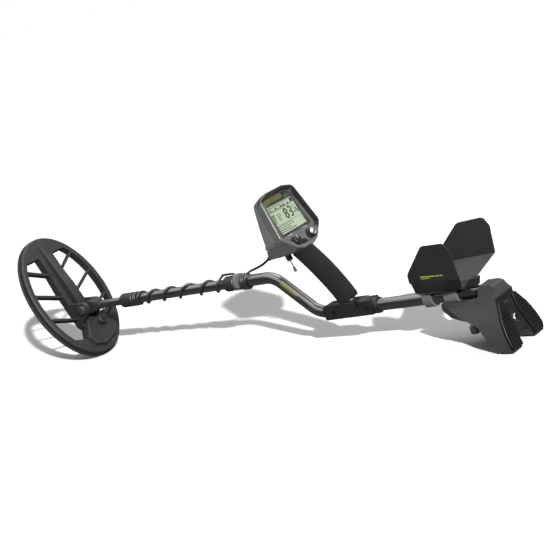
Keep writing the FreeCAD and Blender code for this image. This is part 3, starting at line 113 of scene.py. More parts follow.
# ---------------------------------------------------------------- materials
class Nodes:
    """A short way to write a material's node tree."""

    def __init__(self, name):
        self.material = bpy.data.materials.new(name)
        self.material.use_nodes = True
        self.tree = self.material.node_tree
        self.shader = self.tree.nodes["Principled BSDF"]
        self.place = self.add("ShaderNodeTexCoord").outputs["Object"]

    def add(self, kind, **settings):
        node = self.tree.nodes.new(kind)
        for key, value in settings.items():
            setattr(node, key, value)
        return node

    def join(self, source, target):
        """Link a socket, or set a plain value, on a target socket."""
        if isinstance(source, bpy.types.NodeSocket):
            self.tree.links.new(source, target)
        else:
            target.default_value = source

    def set(self, **inputs):
        """Set shader inputs by name, with underscores for spaces."""
        for key, value in inputs.items():
            self.join(value, self.shader.inputs[key.replace("_", " ")])

    def moved(self, scale, turn=(0, 0, 0)):
        """The object's own place, stretched and turned."""
        mapping = self.add("ShaderNodeMapping")
        self.join(self.place, mapping.inputs["Vector"])
        mapping.inputs["Scale"].default_value = scale
        mapping.inputs["Rotation"].default_value = turn
        return mapping.outputs["Vector"]

    def noise(self, scale, detail=4.0, roughness=0.55, source=None):
        node = self.add("ShaderNodeTexNoise")
        self.join(source or self.place, node.inputs["Vector"])
        node.inputs["Scale"].default_value = scale
        node.inputs["Detail"].default_value = detail
        node.inputs["Roughness"].default_value = roughness
        return node.outputs["Fac"]

    def cells(self, scale):
        node = self.add("ShaderNodeTexVoronoi")
        self.join(self.place, node.inputs["Vector"])
        node.inputs["Scale"].default_value = scale
        return node.outputs["Distance"]

    def wave(self, scale, direction):
        node = self.add("ShaderNodeTexWave", bands_direction=direction)
        self.join(self.place, node.inputs["Vector"])
        node.inputs["Scale"].default_value = scale
        return node.outputs["Fac"]

    def math(self, operation, first, second):
        node = self.add("ShaderNodeMath", operation=operation)
        self.join(first, node.inputs[0])
        self.join(second, node.inputs[1])
        return node.outputs["Value"]

    def spread(self, value, low, high, start, end):
        """Map a value from low..high to start..end."""
        node = self.add("ShaderNodeMapRange", clamp=True)
        self.join(value, node.inputs["Value"])
        for key, number in zip(("From Min", "From Max", "To Min", "To Max"), (low, high, start, end)):
            self.join(number, node.inputs[key])
        return node.outputs["Result"]

    def mix(self, factor, first, second):
        """Mix two colours."""
        node = self.add("ShaderNodeMix", data_type="RGBA")
        self.join(factor, node.inputs["Factor"])
        self.join(first, node.inputs[6])
        self.join(second, node.inputs[7])
        return node.outputs[2]

    def upward(self):
        """How far the surface faces up, from -1 to 1."""
        node = self.add("ShaderNodeSeparateXYZ")
        self.join(self.add("ShaderNodeNewGeometry").outputs["Normal"], node.inputs["Vector"])
        return node.outputs["Z"]

    def along(self, origin, axis):
        """Millimetres along an axis from an origin, both given in the row frame."""
        node = self.add("ShaderNodeVectorMath", operation="DOT_PRODUCT")
        self.join(self.place, node.inputs[0])
        node.inputs[1].default_value = tuple(axis)
        from_origin = self.math("SUBTRACT", node.outputs["Value"], Vector(origin).dot(Vector(axis)))
        return self.math("MULTIPLY", from_origin, 1 / MM)

    def bump(self, height, depth, strength=1.0):
        """A bump of this depth in metres."""
        node = self.add("ShaderNodeBump")
        self.join(height, node.inputs["Height"])
        node.inputs["Strength"].default_value = strength
        node.inputs["Distance"].default_value = depth
        return node.outputs["Normal"]


def shade(colour, amount):
    """A colour made lighter or darker."""
    return tuple(min(1.0, channel * amount) for channel in colour[:3]) + (1.0,)


GRAIN_DEPTH = 0.00006
SHADE_SPREAD = 0.16
DUST = (0.32, 0.31, 0.29, 1.0)
NEAR_BLACK = ((0.004, 0.004, 0.0045, 1.0), (0.012, 0.012, 0.013, 1.0))


def plastic(name, colour, roughness, grain=1400.0, coat=0.0, dust=0.0, dark_zone=None):
    """Moulded plastic: a fine spark-eroded grain, cloudy shade changes and handling marks in the gloss.

    A dark zone is a function that takes the nodes and returns 1 where the moulding is made near black: the
    near-black panel on the battery housing, and painted shade on the display's rim.
    """
    n = Nodes(name)
    cloud = n.noise(14.0, 3.0)
    fine = n.noise(grain, 2.0, 0.6)
    marks = n.noise(90.0, 6.0, 0.7, source=n.moved(scale=(1.0, 0.25, 1.4), turn=(0.3, 0.2, 0.6)))
    tone = n.math("ADD", n.math("MULTIPLY", cloud, 0.7), n.math("MULTIPLY", fine, 0.3))
    base = n.mix(n.spread(tone, 0.35, 0.65, 0.0, 1.0),
                 shade(colour, 1 - SHADE_SPREAD), shade(colour, 1 + SHADE_SPREAD))
    if dust:
        on_top = n.spread(n.upward(), 0.2, 1.0, 0.0, dust)
        settled = n.math("MULTIPLY", on_top, n.spread(marks, 0.45, 0.7, 0.2, 1.0))
        base = n.mix(settled, base, DUST)
    # near black where the dark zone says, which on the display's rim is painted shade
    if dark_zone:
        base = n.mix(dark_zone(n), base, n.mix(marks, *NEAR_BLACK))
    n.set(Base_Color=base, Roughness=n.spread(marks, 0.3, 0.7, roughness - 0.07, roughness + 0.09),
          Normal=n.bump(fine, GRAIN_DEPTH), Coat_Weight=coat, Coat_Roughness=0.2, Specular_IOR_Level=0.32)
    return n.material


def rim_painted_shade(n):
    """Painted shade: the display's rim made near black over its top and right only, the sides where it
    falls dark in shade.
    """
    above_face = n.spread(n.along(DISPLAY.translation, face_axis), 0.6, 1.0, 0.0, 1.0)
    to_the_right = n.spread(n.along(DISPLAY.translation, ACROSS), 43.0, 44.0, 0.0, 1.0)
    to_the_top = n.spread(n.along(DISPLAY.translation, face_up), 38.5, 39.5, 0.0, 1.0)
    return n.math("MULTIPLY", above_face, n.math("MAXIMUM", to_the_right, to_the_top))


def rear_face(n):
    """The near-black inset panel between the battery doors."""
    behind = n.spread(n.along(PANEL.translation, panel_axis), -0.4, -0.2, 0.0, 1.0)
    return n.math("MULTIPLY", behind, n.spread(n.along(PANEL.translation, panel_up), 6.0, 7.0, 1.0, 0.0))


def rubber(name, colour, roughness=0.62, grain=900.0):
    """Soft rubber: broad sheen, a chalky bloom in patches and a faint orange-peel skin."""
    n = Nodes(name)
    bloom = n.noise(60.0, 5.0, 0.6)
    skin = n.noise(grain, 3.0)
    base = n.mix(n.spread(bloom, 0.42, 0.72, 0.0, 0.55), colour + (1.0,), shade(colour, 2.1))
    n.set(Base_Color=base, Roughness=n.spread(bloom, 0.3, 0.7, roughness - 0.08, roughness + 0.12),
          Normal=n.bump(skin, 0.00008), Sheen_Weight=0.05, Sheen_Roughness=0.5)
    return n.material


SCRATCH_DEPTH = 0.000004


def metal(name, colour, roughness, direction=(1.0, 60.0, 60.0)):
    """Plated or turned metal with fine drawn scratches."""
    n = Nodes(name)
    lines = n.noise(220.0, 4.0, 0.6, source=n.moved(scale=direction))
    smudge = n.noise(45.0, 4.0)
    base = n.mix(n.spread(smudge, 0.35, 0.75, 0.0, 1.0), shade(colour, 0.86), shade(colour, 1.06))
    wear = n.math("ADD", n.math("MULTIPLY", lines, 0.16), n.math("MULTIPLY", smudge, 0.14))
    n.set(Base_Color=base, Metallic=1.0, Roughness=n.math("ADD", wear, roughness - 0.12),
          Normal=n.bump(lines, SCRATCH_DEPTH))
    return n.material


def painted_tube(name):
    """Gloss black powder coat: slight orange peel, rubbed patches and hairline scratches along the tube."""
    n = Nodes(name)
    peel = n.noise(260.0, 2.0)
    rub = n.noise(22.0, 5.0, 0.65)
    along = n.moved(scale=(0.05, 1.0, 1.0), turn=(0.0, math.radians(-4.0), 0.0))
    hairs = n.noise(1500.0, 2.0, 0.5, source=along)
    scratch = n.spread(hairs, 0.68, 0.74, 0.0, 0.5)
    fresh, rubbed = (0.003, 0.003, 0.0035, 1.0), (0.008, 0.008, 0.009, 1.0)
    scratched = (0.04, 0.04, 0.042, 1.0)
    base = n.mix(n.spread(rub, 0.35, 0.7, 0.0, 1.0), fresh, rubbed)
    base = n.mix(scratch, base, scratched)
    n.set(Base_Color=base, Roughness=n.spread(rub, 0.3, 0.72, 0.28, 0.40), Coat_Weight=1.0,
          Coat_Roughness=0.2, IOR=1.9, Normal=n.bump(peel, 0.00002, 0.6))
    return n.material


def foam(name):
    """Closed-cell foam: pricked skin, scattered open cells and a soft grey nap."""
    n = Nodes(name)
    pores = n.cells(900.0)
    small = n.noise(2600.0, 3.0, 0.7)
    worn = n.noise(30.0, 4.0)
    pore, skin = (0.002, 0.002, 0.0022, 1.0), (0.0075, 0.0075, 0.008, 1.0)
    polished = (0.014, 0.014, 0.015, 1.0)
    base = n.mix(n.spread(pores, 0.0, 0.6, 0.0, 1.0), pore, skin)
    base = n.mix(n.spread(worn, 0.5, 0.75, 0.0, 0.3), base, polished)
    height = n.math("ADD", n.spread(pores, 0.0, 0.5, 0.0, 1.0), n.math("MULTIPLY", small, 0.6))
    n.set(Base_Color=base, Roughness=0.9, Normal=n.bump(height, 0.00022), Sheen_Weight=0.03,
          Sheen_Roughness=0.6, Specular_IOR_Level=0.15)
    return n.material


def cloth_strap(name, colour):
    """Hook-and-loop tape: a fuzzy pile over a coarse weave."""
    n = Nodes(name)
    weave = n.math("MULTIPLY", n.wave(330.0, "X"), n.wave(330.0, "Y"))
    pile = n.noise(1900.0, 4.0, 0.75)
    base = n.mix(n.spread(pile, 0.35, 0.7, 0.0, 1.0), shade(colour, 0.5), shade(colour, 1.5))
    height = n.math("ADD", n.math("MULTIPLY", weave, 0.5), pile)
    n.set(Base_Color=base, Roughness=0.95, Normal=n.bump(height, 0.0003), Sheen_Weight=0.6,
          Sheen_Roughness=0.5)
    return n.material


def glass(name):
    """A thin acrylic window with faint smears."""
    n = Nodes(name)
    smear = n.noise(35.0, 5.0, source=n.moved(scale=(1.0, 0.4, 1.0), turn=(0.0, 0.4, 0.5)))
    n.set(Base_Color=(0.93, 0.96, 0.94, 1.0), Transmission_Weight=1.0, IOR=1.12, Specular_IOR_Level=0.6,
          Roughness=n.spread(smear, 0.45, 0.75, 0.0, 0.05))
    return n.material


def lcd_glass(name):
    """The pale green-grey reflective background of the LCD, with its faint segment ghosts and a faint
    painted glow, though it has no backlight.
    """
    n = Nodes(name)
    cloud = n.noise(18.0, 2.0)
    grid = n.math("MULTIPLY", n.wave(900.0, "Y"), n.wave(900.0, "Z"))
    tone = n.math("ADD", n.math("MULTIPLY", cloud, 0.8), n.math("MULTIPLY", grid, 0.2))
    base = n.mix(tone, (0.46, 0.52, 0.38, 1.0), (0.62, 0.68, 0.53, 1.0))
    # painted glow: the background emits a faint light of its own colour, though nothing lights it from
    # behind
    n.set(Base_Color=base, Roughness=0.3, Emission_Color=base, Emission_Strength=0.08)
    return n.material


def ink(name, colour, roughness=0.5):
    """Printed ink with slightly broken coverage."""
    n = Nodes(name)
    break_up = n.noise(700.0, 4.0, 0.7)
    base = n.mix(n.spread(break_up, 0.35, 0.7, 0.0, 1.0), shade(colour, 0.72), shade(colour, 1.15))
    n.set(Base_Color=base, Roughness=n.spread(break_up, 0.3, 0.7, roughness - 0.1, roughness + 0.1))
    return n.material


MATERIALS = {
    "coil_plastic": plastic("coil_plastic", (0.0145, 0.0142, 0.0140), 0.52, dust=0.03),
    "skid_plastic": plastic("skid_plastic", (0.022, 0.023, 0.024), 0.6, grain=1000.0),
    "copper": metal("copper", (0.72, 0.34, 0.16), 0.35),
    "gland_rubber": rubber("gland_rubber", (0.012, 0.012, 0.013)),
    "cable": rubber("cable", (0.009, 0.009, 0.01), 0.42, 1500.0),
    "pivot_nylon": plastic("pivot_nylon", (0.022, 0.022, 0.024), 0.4),
    "washer_rubber": rubber("washer_rubber", (0.02, 0.02, 0.02)),
    "rod_plastic": plastic("rod_plastic", (0.016, 0.016, 0.018), 0.38, dust=0.05),
    "rod_black": painted_tube("rod_black"),
    "collar_plastic": plastic("collar_plastic", (0.015, 0.015, 0.017), 0.42),
    "collet_plastic": plastic("collet_plastic", (0.45, 0.45, 0.42), 0.45),
    "strap_cloth": cloth_strap("strap_cloth", (0.040, 0.046, 0.036)),
    "plug_black": plastic("plug_black", (0.018, 0.018, 0.019), 0.42),
    "saddle_plastic": plastic("saddle_plastic", (0.012, 0.012, 0.0135), 0.4),
    "bolt_steel": metal("bolt_steel", (0.055, 0.055, 0.06), 0.42),
    "grip_core": plastic("grip_core", (0.02, 0.02, 0.02), 0.5),
    "foam": foam("foam"),
    # partly its own grey and partly painted light: set well above the face's grey so that the display's
    # sides and chin read as lit
    "housing_grey": plastic("housing_grey", (0.150, 0.152, 0.145), 0.46, grain=1700.0, dust=0.04),
    "seal_rubber": rubber("seal_rubber", (0.01, 0.01, 0.01)),
    "window": glass("window"),
    "lcd": lcd_glass("lcd"),
    "board": plastic("board", (0.02, 0.13, 0.05), 0.4),
    "part_metal": metal("part_metal", (0.45, 0.45, 0.45), 0.4),
    "knob_black": plastic("knob_black", (0.012, 0.012, 0.013), 0.35),
    "knob_bright": metal("knob_bright", (0.78, 0.78, 0.79), 0.3, (60.0, 60.0, 60.0)),
    "toggle_metal": metal("toggle_metal", (0.16, 0.16, 0.165), 0.38),
    "tip_black": rubber("tip_black", (0.012, 0.012, 0.012), 0.5),
    "cup_plastic": plastic("cup_plastic", (0.0165, 0.0165, 0.0165), 0.4, grain=1500.0),
    "plate_grey": metal("plate_grey", (0.50, 0.51, 0.52), 0.5),
    "bracket_black": plastic("bracket_black", (0.014, 0.014, 0.015), 0.4),
    "battery_plastic": plastic("battery_plastic", (0.032, 0.032, 0.032), 0.5, grain=1500.0,
                               dark_zone=rear_face),
    "door_plastic": plastic("door_plastic", (0.0045, 0.0045, 0.005), 0.42),
    "cell_metal": metal("cell_metal", (0.5, 0.42, 0.25), 0.4),
    "contact_metal": metal("contact_metal", (0.7, 0.62, 0.4), 0.3),
    "jack_plastic": plastic("jack_plastic", (0.012, 0.012, 0.012), 0.4),
    "foot_rubber": rubber("foot_rubber", (0.008, 0.008, 0.008)),
    "stand_plastic": plastic("stand_plastic", (0.016, 0.016, 0.018), 0.4),
    # the rim's top and right are painted near black as painted shade
    "display_front": plastic("display_front", (0.080, 0.083, 0.079), 0.40, grain=1700.0, coat=0.6,
                             dark_zone=rim_painted_shade),
    "arm_cup_straps": plastic("strap_plastic", (0.11, 0.11, 0.105), 0.5),
    "menu_knob": plastic("knob_side", (0.016, 0.016, 0.017), 0.35),
    "jack_nut": metal("nut_chrome", (0.80, 0.80, 0.81), 0.22),
    "stand_knob": metal("stand_metal", (0.28, 0.28, 0.29), 0.42),
    "lcd_ink": ink("lcd_ink", (0.008, 0.010, 0.009), 0.4),
    "olive_ink": ink("olive_ink", (0.125, 0.115, 0.025), 0.5),
    "band_ink": ink("band_ink", (0.055, 0.050, 0.014), 0.5),
    "lime_ink": ink("lime_ink", (0.30, 0.32, 0.03), 0.5),
    "pale_ink": ink("pale_ink", (0.42, 0.43, 0.40), 0.5),
}


def dress_nodes():
    """Give every CAD node the material named after it, or else the one of its slot in the record."""
    for entry in frame["record"]["subparts"]:
        node = NODES[entry["node"]]
        node.data.materials.clear()
        node.data.materials.append(MATERIALS.get(entry["node"], MATERIALS[entry["material_slot"]]))


WELD_REACH = 0.00001
HARD_EDGE = math.radians(35.0)
# how far each moulding's hard edges are rounded, in millimetres
EDGE_ROUNDING = {
    "coil_housing": 0.8, "coil_cover": 0.8, "display_front": 0.5, "display_rear": 1.2,
    "battery_housing": 2.0, "battery_door_left": 0.4, "battery_door_right": 0.4, "door_latch": 0.3,
    "saddle_left": 0.8, "saddle_right": 0.8, "stem_clamp": 0.6, "arm_cup": 0.6, "arm_cup_plate": 0.4,
    "arm_cup_bracket": 0.6, "arm_cup_straps": 0.6, "rod_tip": 0.6, "lower_lock_collar": 0.3,
    "upper_lock_collar": 0.3, "foot_pads": 0.4, "settings_knob": 0.25, "menu_knob": 0.25,
    "toggle_nut": 0.25, "jack_nut": 0.2, "stand_knob": 0.4, "pivot_bolt": 0.3, "pivot_nut": 0.3,
}


def soften(node, width):
    """Round the hard edges of a CAD node by this many millimetres."""
    piece = NODES[node]
    weld = piece.modifiers.new("weld", "WELD")
    weld.merge_threshold = WELD_REACH
    bevel = piece.modifiers.new("bevel", "BEVEL")
    bevel.width = width * MM
    bevel.segments = 2
    bevel.limit_method = "ANGLE"
    bevel.angle_limit = HARD_EDGE
    bevel.use_clamp_overlap = True
    normals = piece.modifiers.new("normals", "WEIGHTED_NORMAL")
    normals.keep_sharp = False
    normals.weight = 80


# ---------------------------------------------------------------- mesh helpers
def new_piece(name, points, faces, material, body, smooth=True):
    """A mesh piece from row-frame points; it rides on a body, or on none yet if body is None."""
    mesh = bpy.data.meshes.new(name)
    mesh.from_pydata([tuple(p) for p in points], [], faces)
    mesh.validate()
    mesh.polygons.foreach_set("use_smooth", [smooth] * len(mesh.polygons))
    mesh.materials.append(MATERIALS[material])
    piece = bpy.data.objects.new(name, mesh)
    bpy.context.scene.collection.objects.link(piece)
    if body:
        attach(piece, body)
    return piece


def ring_faces(rings, around):
    """Faces that join rings of equal length, with end caps."""
    faces = []
    for ring in range(rings - 1):
        for step in range(around):
            here = ring * around + step
            near = ring * around + (step + 1) % around
            faces.append((here, near, near + around, here + around))
    faces.append(tuple(reversed(range(around))))
    faces.append(tuple(range((rings - 1) * around, rings * around)))
    return faces


def spline(corners, steps):
    """Points along a smooth curve through the corners."""
    ends = [corners[0] * 2 - corners[1]] + list(corners) + [corners[-1] * 2 - corners[-2]]
    points = []
    for a, b, c, d in zip(ends, ends[1:], ends[2:], ends[3:]):
        for step in range(steps):
            t = step / steps
            points.append((b * 2 + (c - a) * t + (a * 2 - b * 5 + c * 4 - d) * t ** 2
                           + (b * 3 - a - c * 3 + d) * t ** 3) / 2)
    points.append(corners[-1])
    return points


CABLE_RADIUS = 2.3
WRAP_RADIUS = 12.0


def hose(name, line, body):
    """A run of the coil cable along a line of row-frame points."""
    around = 14
    last = len(line) - 1
    tangents = [(line[min(i + 1, last)] - line[max(i - 1, 0)]).normalized() for i in range(len(line))]
    side = tangents[0].orthogonal().normalized()
    points = []
    for point, tangent in zip(line, tangents):
        side = (side - tangent * side.dot(tangent)).normalized()
        other = tangent.cross(side)
        for step in range(around):
            turn = 2 * math.pi * step / around
            points.append(point + (side * math.cos(turn) + other * math.sin(turn)) * CABLE_RADIUS * MM)
    piece = new_piece(name, points, ring_faces(len(line), around), "cable", body)
    return piece


def lathe(name, place, profile, material, body, around=48):
    """A turned piece about the frame's Z axis; its (height, radius) pairs start and end on the axis."""
    points, faces = [at(place, z=profile[0][0])], []
    inner = profile[1:-1]
    for height, radius in inner:
        for step in range(around):
            turn = 2 * math.pi * step / around
            points.append(at(place, radius * math.cos(turn), radius * math.sin(turn), height))
    points.append(at(place, z=profile[-1][0]))
    last = len(points) - 1
    for step in range(around):
        near = (step + 1) % around
        faces.append((0, 1 + near, 1 + step))
        for ring in range(len(inner) - 1):
            low, high = 1 + ring * around, 1 + (ring + 1) * around
            faces.append((low + step, low + near, high + near, high + step))
        top = 1 + (len(inner) - 1) * around
        faces.append((top + step, top + near, last))
    return new_piece(name, points, faces, material, body)


def plates(name, place, outlines, low, high, material, body):
    """Flat plates from outlines in the frame's XY plane, between two heights, all in millimetres."""
    points, faces = [], []
    for outline in outlines:
        first = len(points)
        points += [at(place, x, y, level) for level in (low, high) for x, y in outline]
        faces += [tuple(first + corner for corner in face) for face in ring_faces(2, len(outline))]
    return new_piece(name, points, faces, material, body, smooth=False)


def bar(left, low, right, high, lean=0.0):
    """The outline of an upright bar, with its top moved sideways by the lean."""
    return [(left, low), (right, low), (right + lean, high), (left + lean, high)]


# ---------------------------------------------------------------- pieces
def around_stem(along, angle, radius):
    """A point round the stem: angle 0 faces the user's left and 90 degrees faces up."""
    return at(STEM, along, -radius * math.cos(angle), radius * math.sin(angle))


def wound(corners, steps):
    """A smooth line round the stem through corners given as (station, turns, radius)."""
    line = spline([Vector(corner) for corner in corners], steps)
    return [around_stem(place.x, place.y * 2 * math.pi, place.z) for place in line]


def cable():
    """One coil cable: from the gland, over the lock collars in a long wrap, and up to the display."""
    gland_tip = at(COIL, 76, 20, 33)
    rod_tip = at(STEM, -452, 17.3, -2)
    lead = [at(COIL, 76, 20, 9), gland_tip, at(STEM, -478, 20.5, -21), at(STEM, -466, 18.6, -10), rod_tip,
            at(STEM, -440, 17.0, 0.5)]
    lead = hose("cable_from_coil", spline(lead, 10), None)
    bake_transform(lead)

    turns = [(-440, 0.5, 17.0), (-409, 0.5, 17.0), (-392, 0.5, 17.2), (-376, 0.53, 16.0)]
    turns.append((-369, 0.75, 12.2))
    turns += [(-369 + 4.9 * step, 0.75 + step, WRAP_RADIUS) for step in (1, 2)]
    crossings = (-337, -293, -249, -193, -148)
    turns += [(station, 3.75 + step, WRAP_RADIUS) for step, station in enumerate(crossings)]
    turns.append((-132, 8.2, WRAP_RADIUS + 0.5))
    wrap = hose("cable_wrap", wound(turns, 40), None)
    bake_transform(wrap)

    rise = wound([(-132, 8.2, 12.5), (-128, 8.25, 15.8), (-123, 8.25, 18.6), (-100, 8.25, 18.4)], 8)
    rise = hose("cable_over_lock", rise, None)
    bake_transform(rise)

    loops = wound([(-100, 0.25, 18.4), (-95.5, 0.25, 17.0), (-91, 0.25, 14.2), (-82, 0.25, 13.6),
                   (-78.5, 0.42, 13.6), (-75.5, 1.0, 13.6), (-72, 1.75, 13.6), (-68.5, 2.5, 13.6),
                   (-64, 3.1, 14.4), (-56, 3.25, 17.5)], 24)
    climb = [at(STEM, -56, 0, 17.5), at(STEM, -38, 0, 21.5), at(STEM, -20, 0, 26.6), at(STEM, 2.6, 0, 36.7)]
    upper = hose("cable_to_display", loops[:-1] + spline(climb, 8), "handle")

    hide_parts("middle_cable")
    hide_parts("coil_cable")
    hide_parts("lower_cable")
    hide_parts("upper_cable")


def grip():
    """The foam grip: one swept sleeve, a little fuller in the palm, with rolled ends."""
    centre, radius = Vector((-259.5, 0, -251.0)), 450.0
    low, high = math.radians(24.7), math.radians(41.9)
    half_depth, half_width = 20.5, 17.5
    end_roll, end_share, palm_swell = 0.10, 1 / 26, 0.018
    around, rings = 64, 56
    points = []
    for ring in range(rings):
        t = ring / (rings - 1)
        angle = low + (high - low) * t
        spoke = Vector((math.cos(angle), 0, math.sin(angle)))
        near_end = max(0.0, 1 - min(t, 1 - t) / end_share)
        girth = (1 - end_roll * near_end ** 2) * (1 + palm_swell * math.sin(math.pi * t) ** 2)
        for step in range(around):
            turn = 2 * math.pi * step / around
            place = centre + spoke * (radius + half_depth * math.cos(turn) * girth)
            points.append(at(STEM, place.x, half_width * math.sin(turn) * girth, place.z))
    piece = new_piece("foam_grip", points, ring_faces(rings, around), "foam", "handle")
    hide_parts("grip_foam")


def strap():
    """The hook-and-loop strap: one turn and a bit over the rod and the cable, with a free tail."""
    start, width, thick, tube = -95.0, 15.0, 1.5, 11.3
    first_angle, turns, steps = -2.3, 1.28, 96
    cable_lift, cable_spread, overlap_from, tail_from = 4.9, 0.46, 0.70, 0.90
    tail_lift, ripple_depth, ripples = 5.0, 0.35, 5
    inset, rounding, crown = 0.6, 0.2, 0.25
    section = [(0, rounding), (inset, 0), (width - inset, 0), (width, rounding), (width, thick - rounding),
               (width - inset, thick), (width / 2, thick + crown), (inset, thick), (0, thick - rounding)]
    points = []
    for step in range(steps + 1):
        t = step / steps
        angle = first_angle + 2 * math.pi * turns * t
        off_cable = (angle - math.pi / 2 + math.pi) % (2 * math.pi) - math.pi
        lift = cable_lift * math.exp(-(off_cable / cable_spread) ** 2)
        layer = thick * 1.1 * max(0.0, min(1.0, (t - overlap_from) / 0.1))
        peel = tail_lift * max(0.0, (t - tail_from) / (1 - tail_from)) ** 2
        ripple = ripple_depth * math.sin(angle * ripples)
        for along, height in section:
            points.append(around_stem(start + along + ripple, angle, tube + lift + layer + peel + height))
    piece = new_piece("cloth_strap", points, ring_faces(steps + 1, len(section)), "strap_cloth", "handle")
    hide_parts("cable_strap")


# lit segments of a digit: top, upper left, upper right, middle, lower left, lower right, bottom
SEGMENTS = {
    8: "1111111",
    3: "1011011",
    6: "1101111",
    2: "1011101",
}


def digit(value, left, low, height):
    """The outlines of a seven-segment digit."""
    wide, bar_width, gap, lean = height * 0.54, height * 0.17, height * 0.015, height * 0.09
    half, edge = height / 2, bar_width / 2

    def slanted(corners):
        return [(left + x + lean * y / height, low + y) for x, y in corners]

    def level(y):
        tip, shoulder = edge + gap, bar_width + gap
        return [(tip, y), (shoulder, y - edge), (wide - shoulder, y - edge), (wide - tip, y),
                (wide - shoulder, y + edge), (shoulder, y + edge)]

    def upright(x, y):
        near, far = y + gap, y + half - edge - gap
        return [(x, near), (x + edge, near + edge), (x + edge, far - edge), (x, far),
                (x - edge, far - edge), (x - edge, near + edge)]

    shapes = [level(height - edge), upright(edge, half), upright(wide - edge, half), level(half),
              upright(edge, edge), upright(wide - edge, edge), level(edge)]
    return [slanted(shape) for shape, lit in zip(shapes, SEGMENTS[value]) if lit == "1"]


def label_row(left, right, low, high, words):
    """A row of short bars that stands in for small print; words are the bar lengths in millimetres."""
    outlines = []
    for word in words:
        if left + word > right:
            break
        outlines.append(bar(left, low, left + word, high))
        left += word + 0.7
    return outlines


def lcd_content():
    """What the LCD shows: digits, a bar scale, a side ladder, a cell symbol and rows of small marks."""
    shown = digit(8, -2.5, -7, 21) + digit(3, 10.5, -7, 21)
    shown += digit(2, 26.0, -3.5, 10) + digit(6, 32.2, -3.5, 10)
    tall_blocks = (1, 4, 7, 8, 9, 11)
    for step in range(13):
        top = 21.3 if step in tall_blocks else 18.3
        shown.append(bar(-36.5 + step * 5.2, 16.5, -33.0 + step * 5.2, top))
    shown.append(bar(-37.0, 14.6, 31.5, 15.1))
    for step in range(5):
        shown.append(bar(-36.0, -6.5 + step * 3.8, -31.0 + step * 1.2, -4.4 + step * 3.8))
    shown += [bar(31.5, 17.5, 37.5, 24.5), bar(33.0, 24.5, 36.0, 25.6)]
    rows = ((-37, 30, 23.0, 24.2, (1.4, 2.6, 1.8, 3.0, 1.2, 2.2, 2.8, 1.6, 2.4, 1.8, 3.2, 2.0, 1.4, 2.6)),
            (-22, -6, 7.0, 8.4, (2.8, 1.4, 3.4, 2.0)), (-22, -6, 3.6, 5.0, (1.8, 3.4, 1.2, 2.6)),
            (-22, -6, 0.2, 1.6, (3.0, 2.2, 1.6)), (-22, -6, -3.4, -2.0, (1.4, 2.6, 3.2)),
            (25, 37, 9.6, 10.8, (2.4, 3.4, 1.6)),
            (-36, 36, -13.4, -12.0, (3.6, 2.0, 1.4, 4.2, 2.6, 3.0, 1.8, 4.4, 2.2, 3.8, 1.6, 3.2, 2.4)),
            (-36, 36, -17.2, -15.8, (1.8, 3.6, 2.6, 1.4, 3.0, 4.4, 2.0, 1.6, 3.4, 2.2, 2.8, 1.4, 3.8, 2.6)),
            (-36, 20, -21.2, -19.6, (4.4, 1.6, 3.2, 2.4, 2.0, 3.6, 1.4, 2.8, 4.0, 2.2)),
            (-36, 36, -25.2, -23.4, [2.2] * 16))
    for left, right, low, high, words in rows:
        shown += label_row(left, right, low, high, words)
    shown.append(bar(-37.0, -10.6, 37.0, -10.1))
    piece = plates("lcd_segments", DISPLAY, shown, -2.72, -2.6, "lcd_ink", "handle")


def face_print():
    """Generic print on the display face: an olive band, ticks round the left knob and dashes above both."""
    fields = ((-36.5, -16.0), (-14.6, -10.6), (-9.2, 13.0))
    band = [bar(left, 32.6, right, 39.6, 2.0) for left, right in fields]
    piece = plates("face_band", DISPLAY, band, 1.26, 1.38, "olive_ink", "handle")
    blocks = [bar(-34.5 + 4.2 * step, 34.2, -31.4 + 4.2 * step, 38.0, 1.2) for step in range(11)]
    piece = plates("band_blocks", DISPLAY, blocks, 1.3, 1.46, "band_ink", "handle")
    marks = []
    middle = Vector((-KNOB_OFFSET, KNOB_STATION))
    for from_top in range(120, -121, -30):
        turn = math.radians(90 + from_top)
        out = Vector((math.cos(turn), math.sin(turn)))
        side = Vector((-out.y, out.x)) * 0.3
        near, far = middle + out * 11.2, middle + out * 13.2
        marks.append([tuple(near - side), tuple(far - side), tuple(far + side), tuple(near + side)])
    for across in (-28.0, 18.0):
        marks += label_row(across, across + 12, -34.6, -33.5, (2.6, 1.6, 3.2, 2.0))
    piece = plates("face_marks", DISPLAY, marks, 0.0, 0.12, "pale_ink", "handle")


def knob_details():
    """A pale pointer in the left knob's groove and a turned cap on the right one."""
    left = DISPLAY @ Matrix.Translation((-KNOB_OFFSET * MM, KNOB_STATION * MM, 0))
    groove = bar(-0.72, 1.7, 0.72, 8.3)
    pointer = plates("knob_pointer", left, [groove], 11.4, 12.1, "pale_ink", "settings_control")
    bevel = pointer.modifiers.new("bevel", "BEVEL")
    bevel.width = 0.1 * MM
    bevel.segments = 2
    bevel.limit_method = "ANGLE"

    right = DISPLAY @ Matrix.Translation((KNOB_OFFSET * MM, KNOB_STATION * MM, 0))
    profile = [(11.8, 0), (11.8, 6.9), (12.15, 7.0), (12.5, 6.5), (12.55, 5.0), (12.4, 4.8), (12.4, 4.4),
               (12.6, 4.2), (12.7, 0)]
    cap = lathe("knob_cap", right, profile, "knob_bright", "menu_control")


PRINT_THICKNESS = 0.12


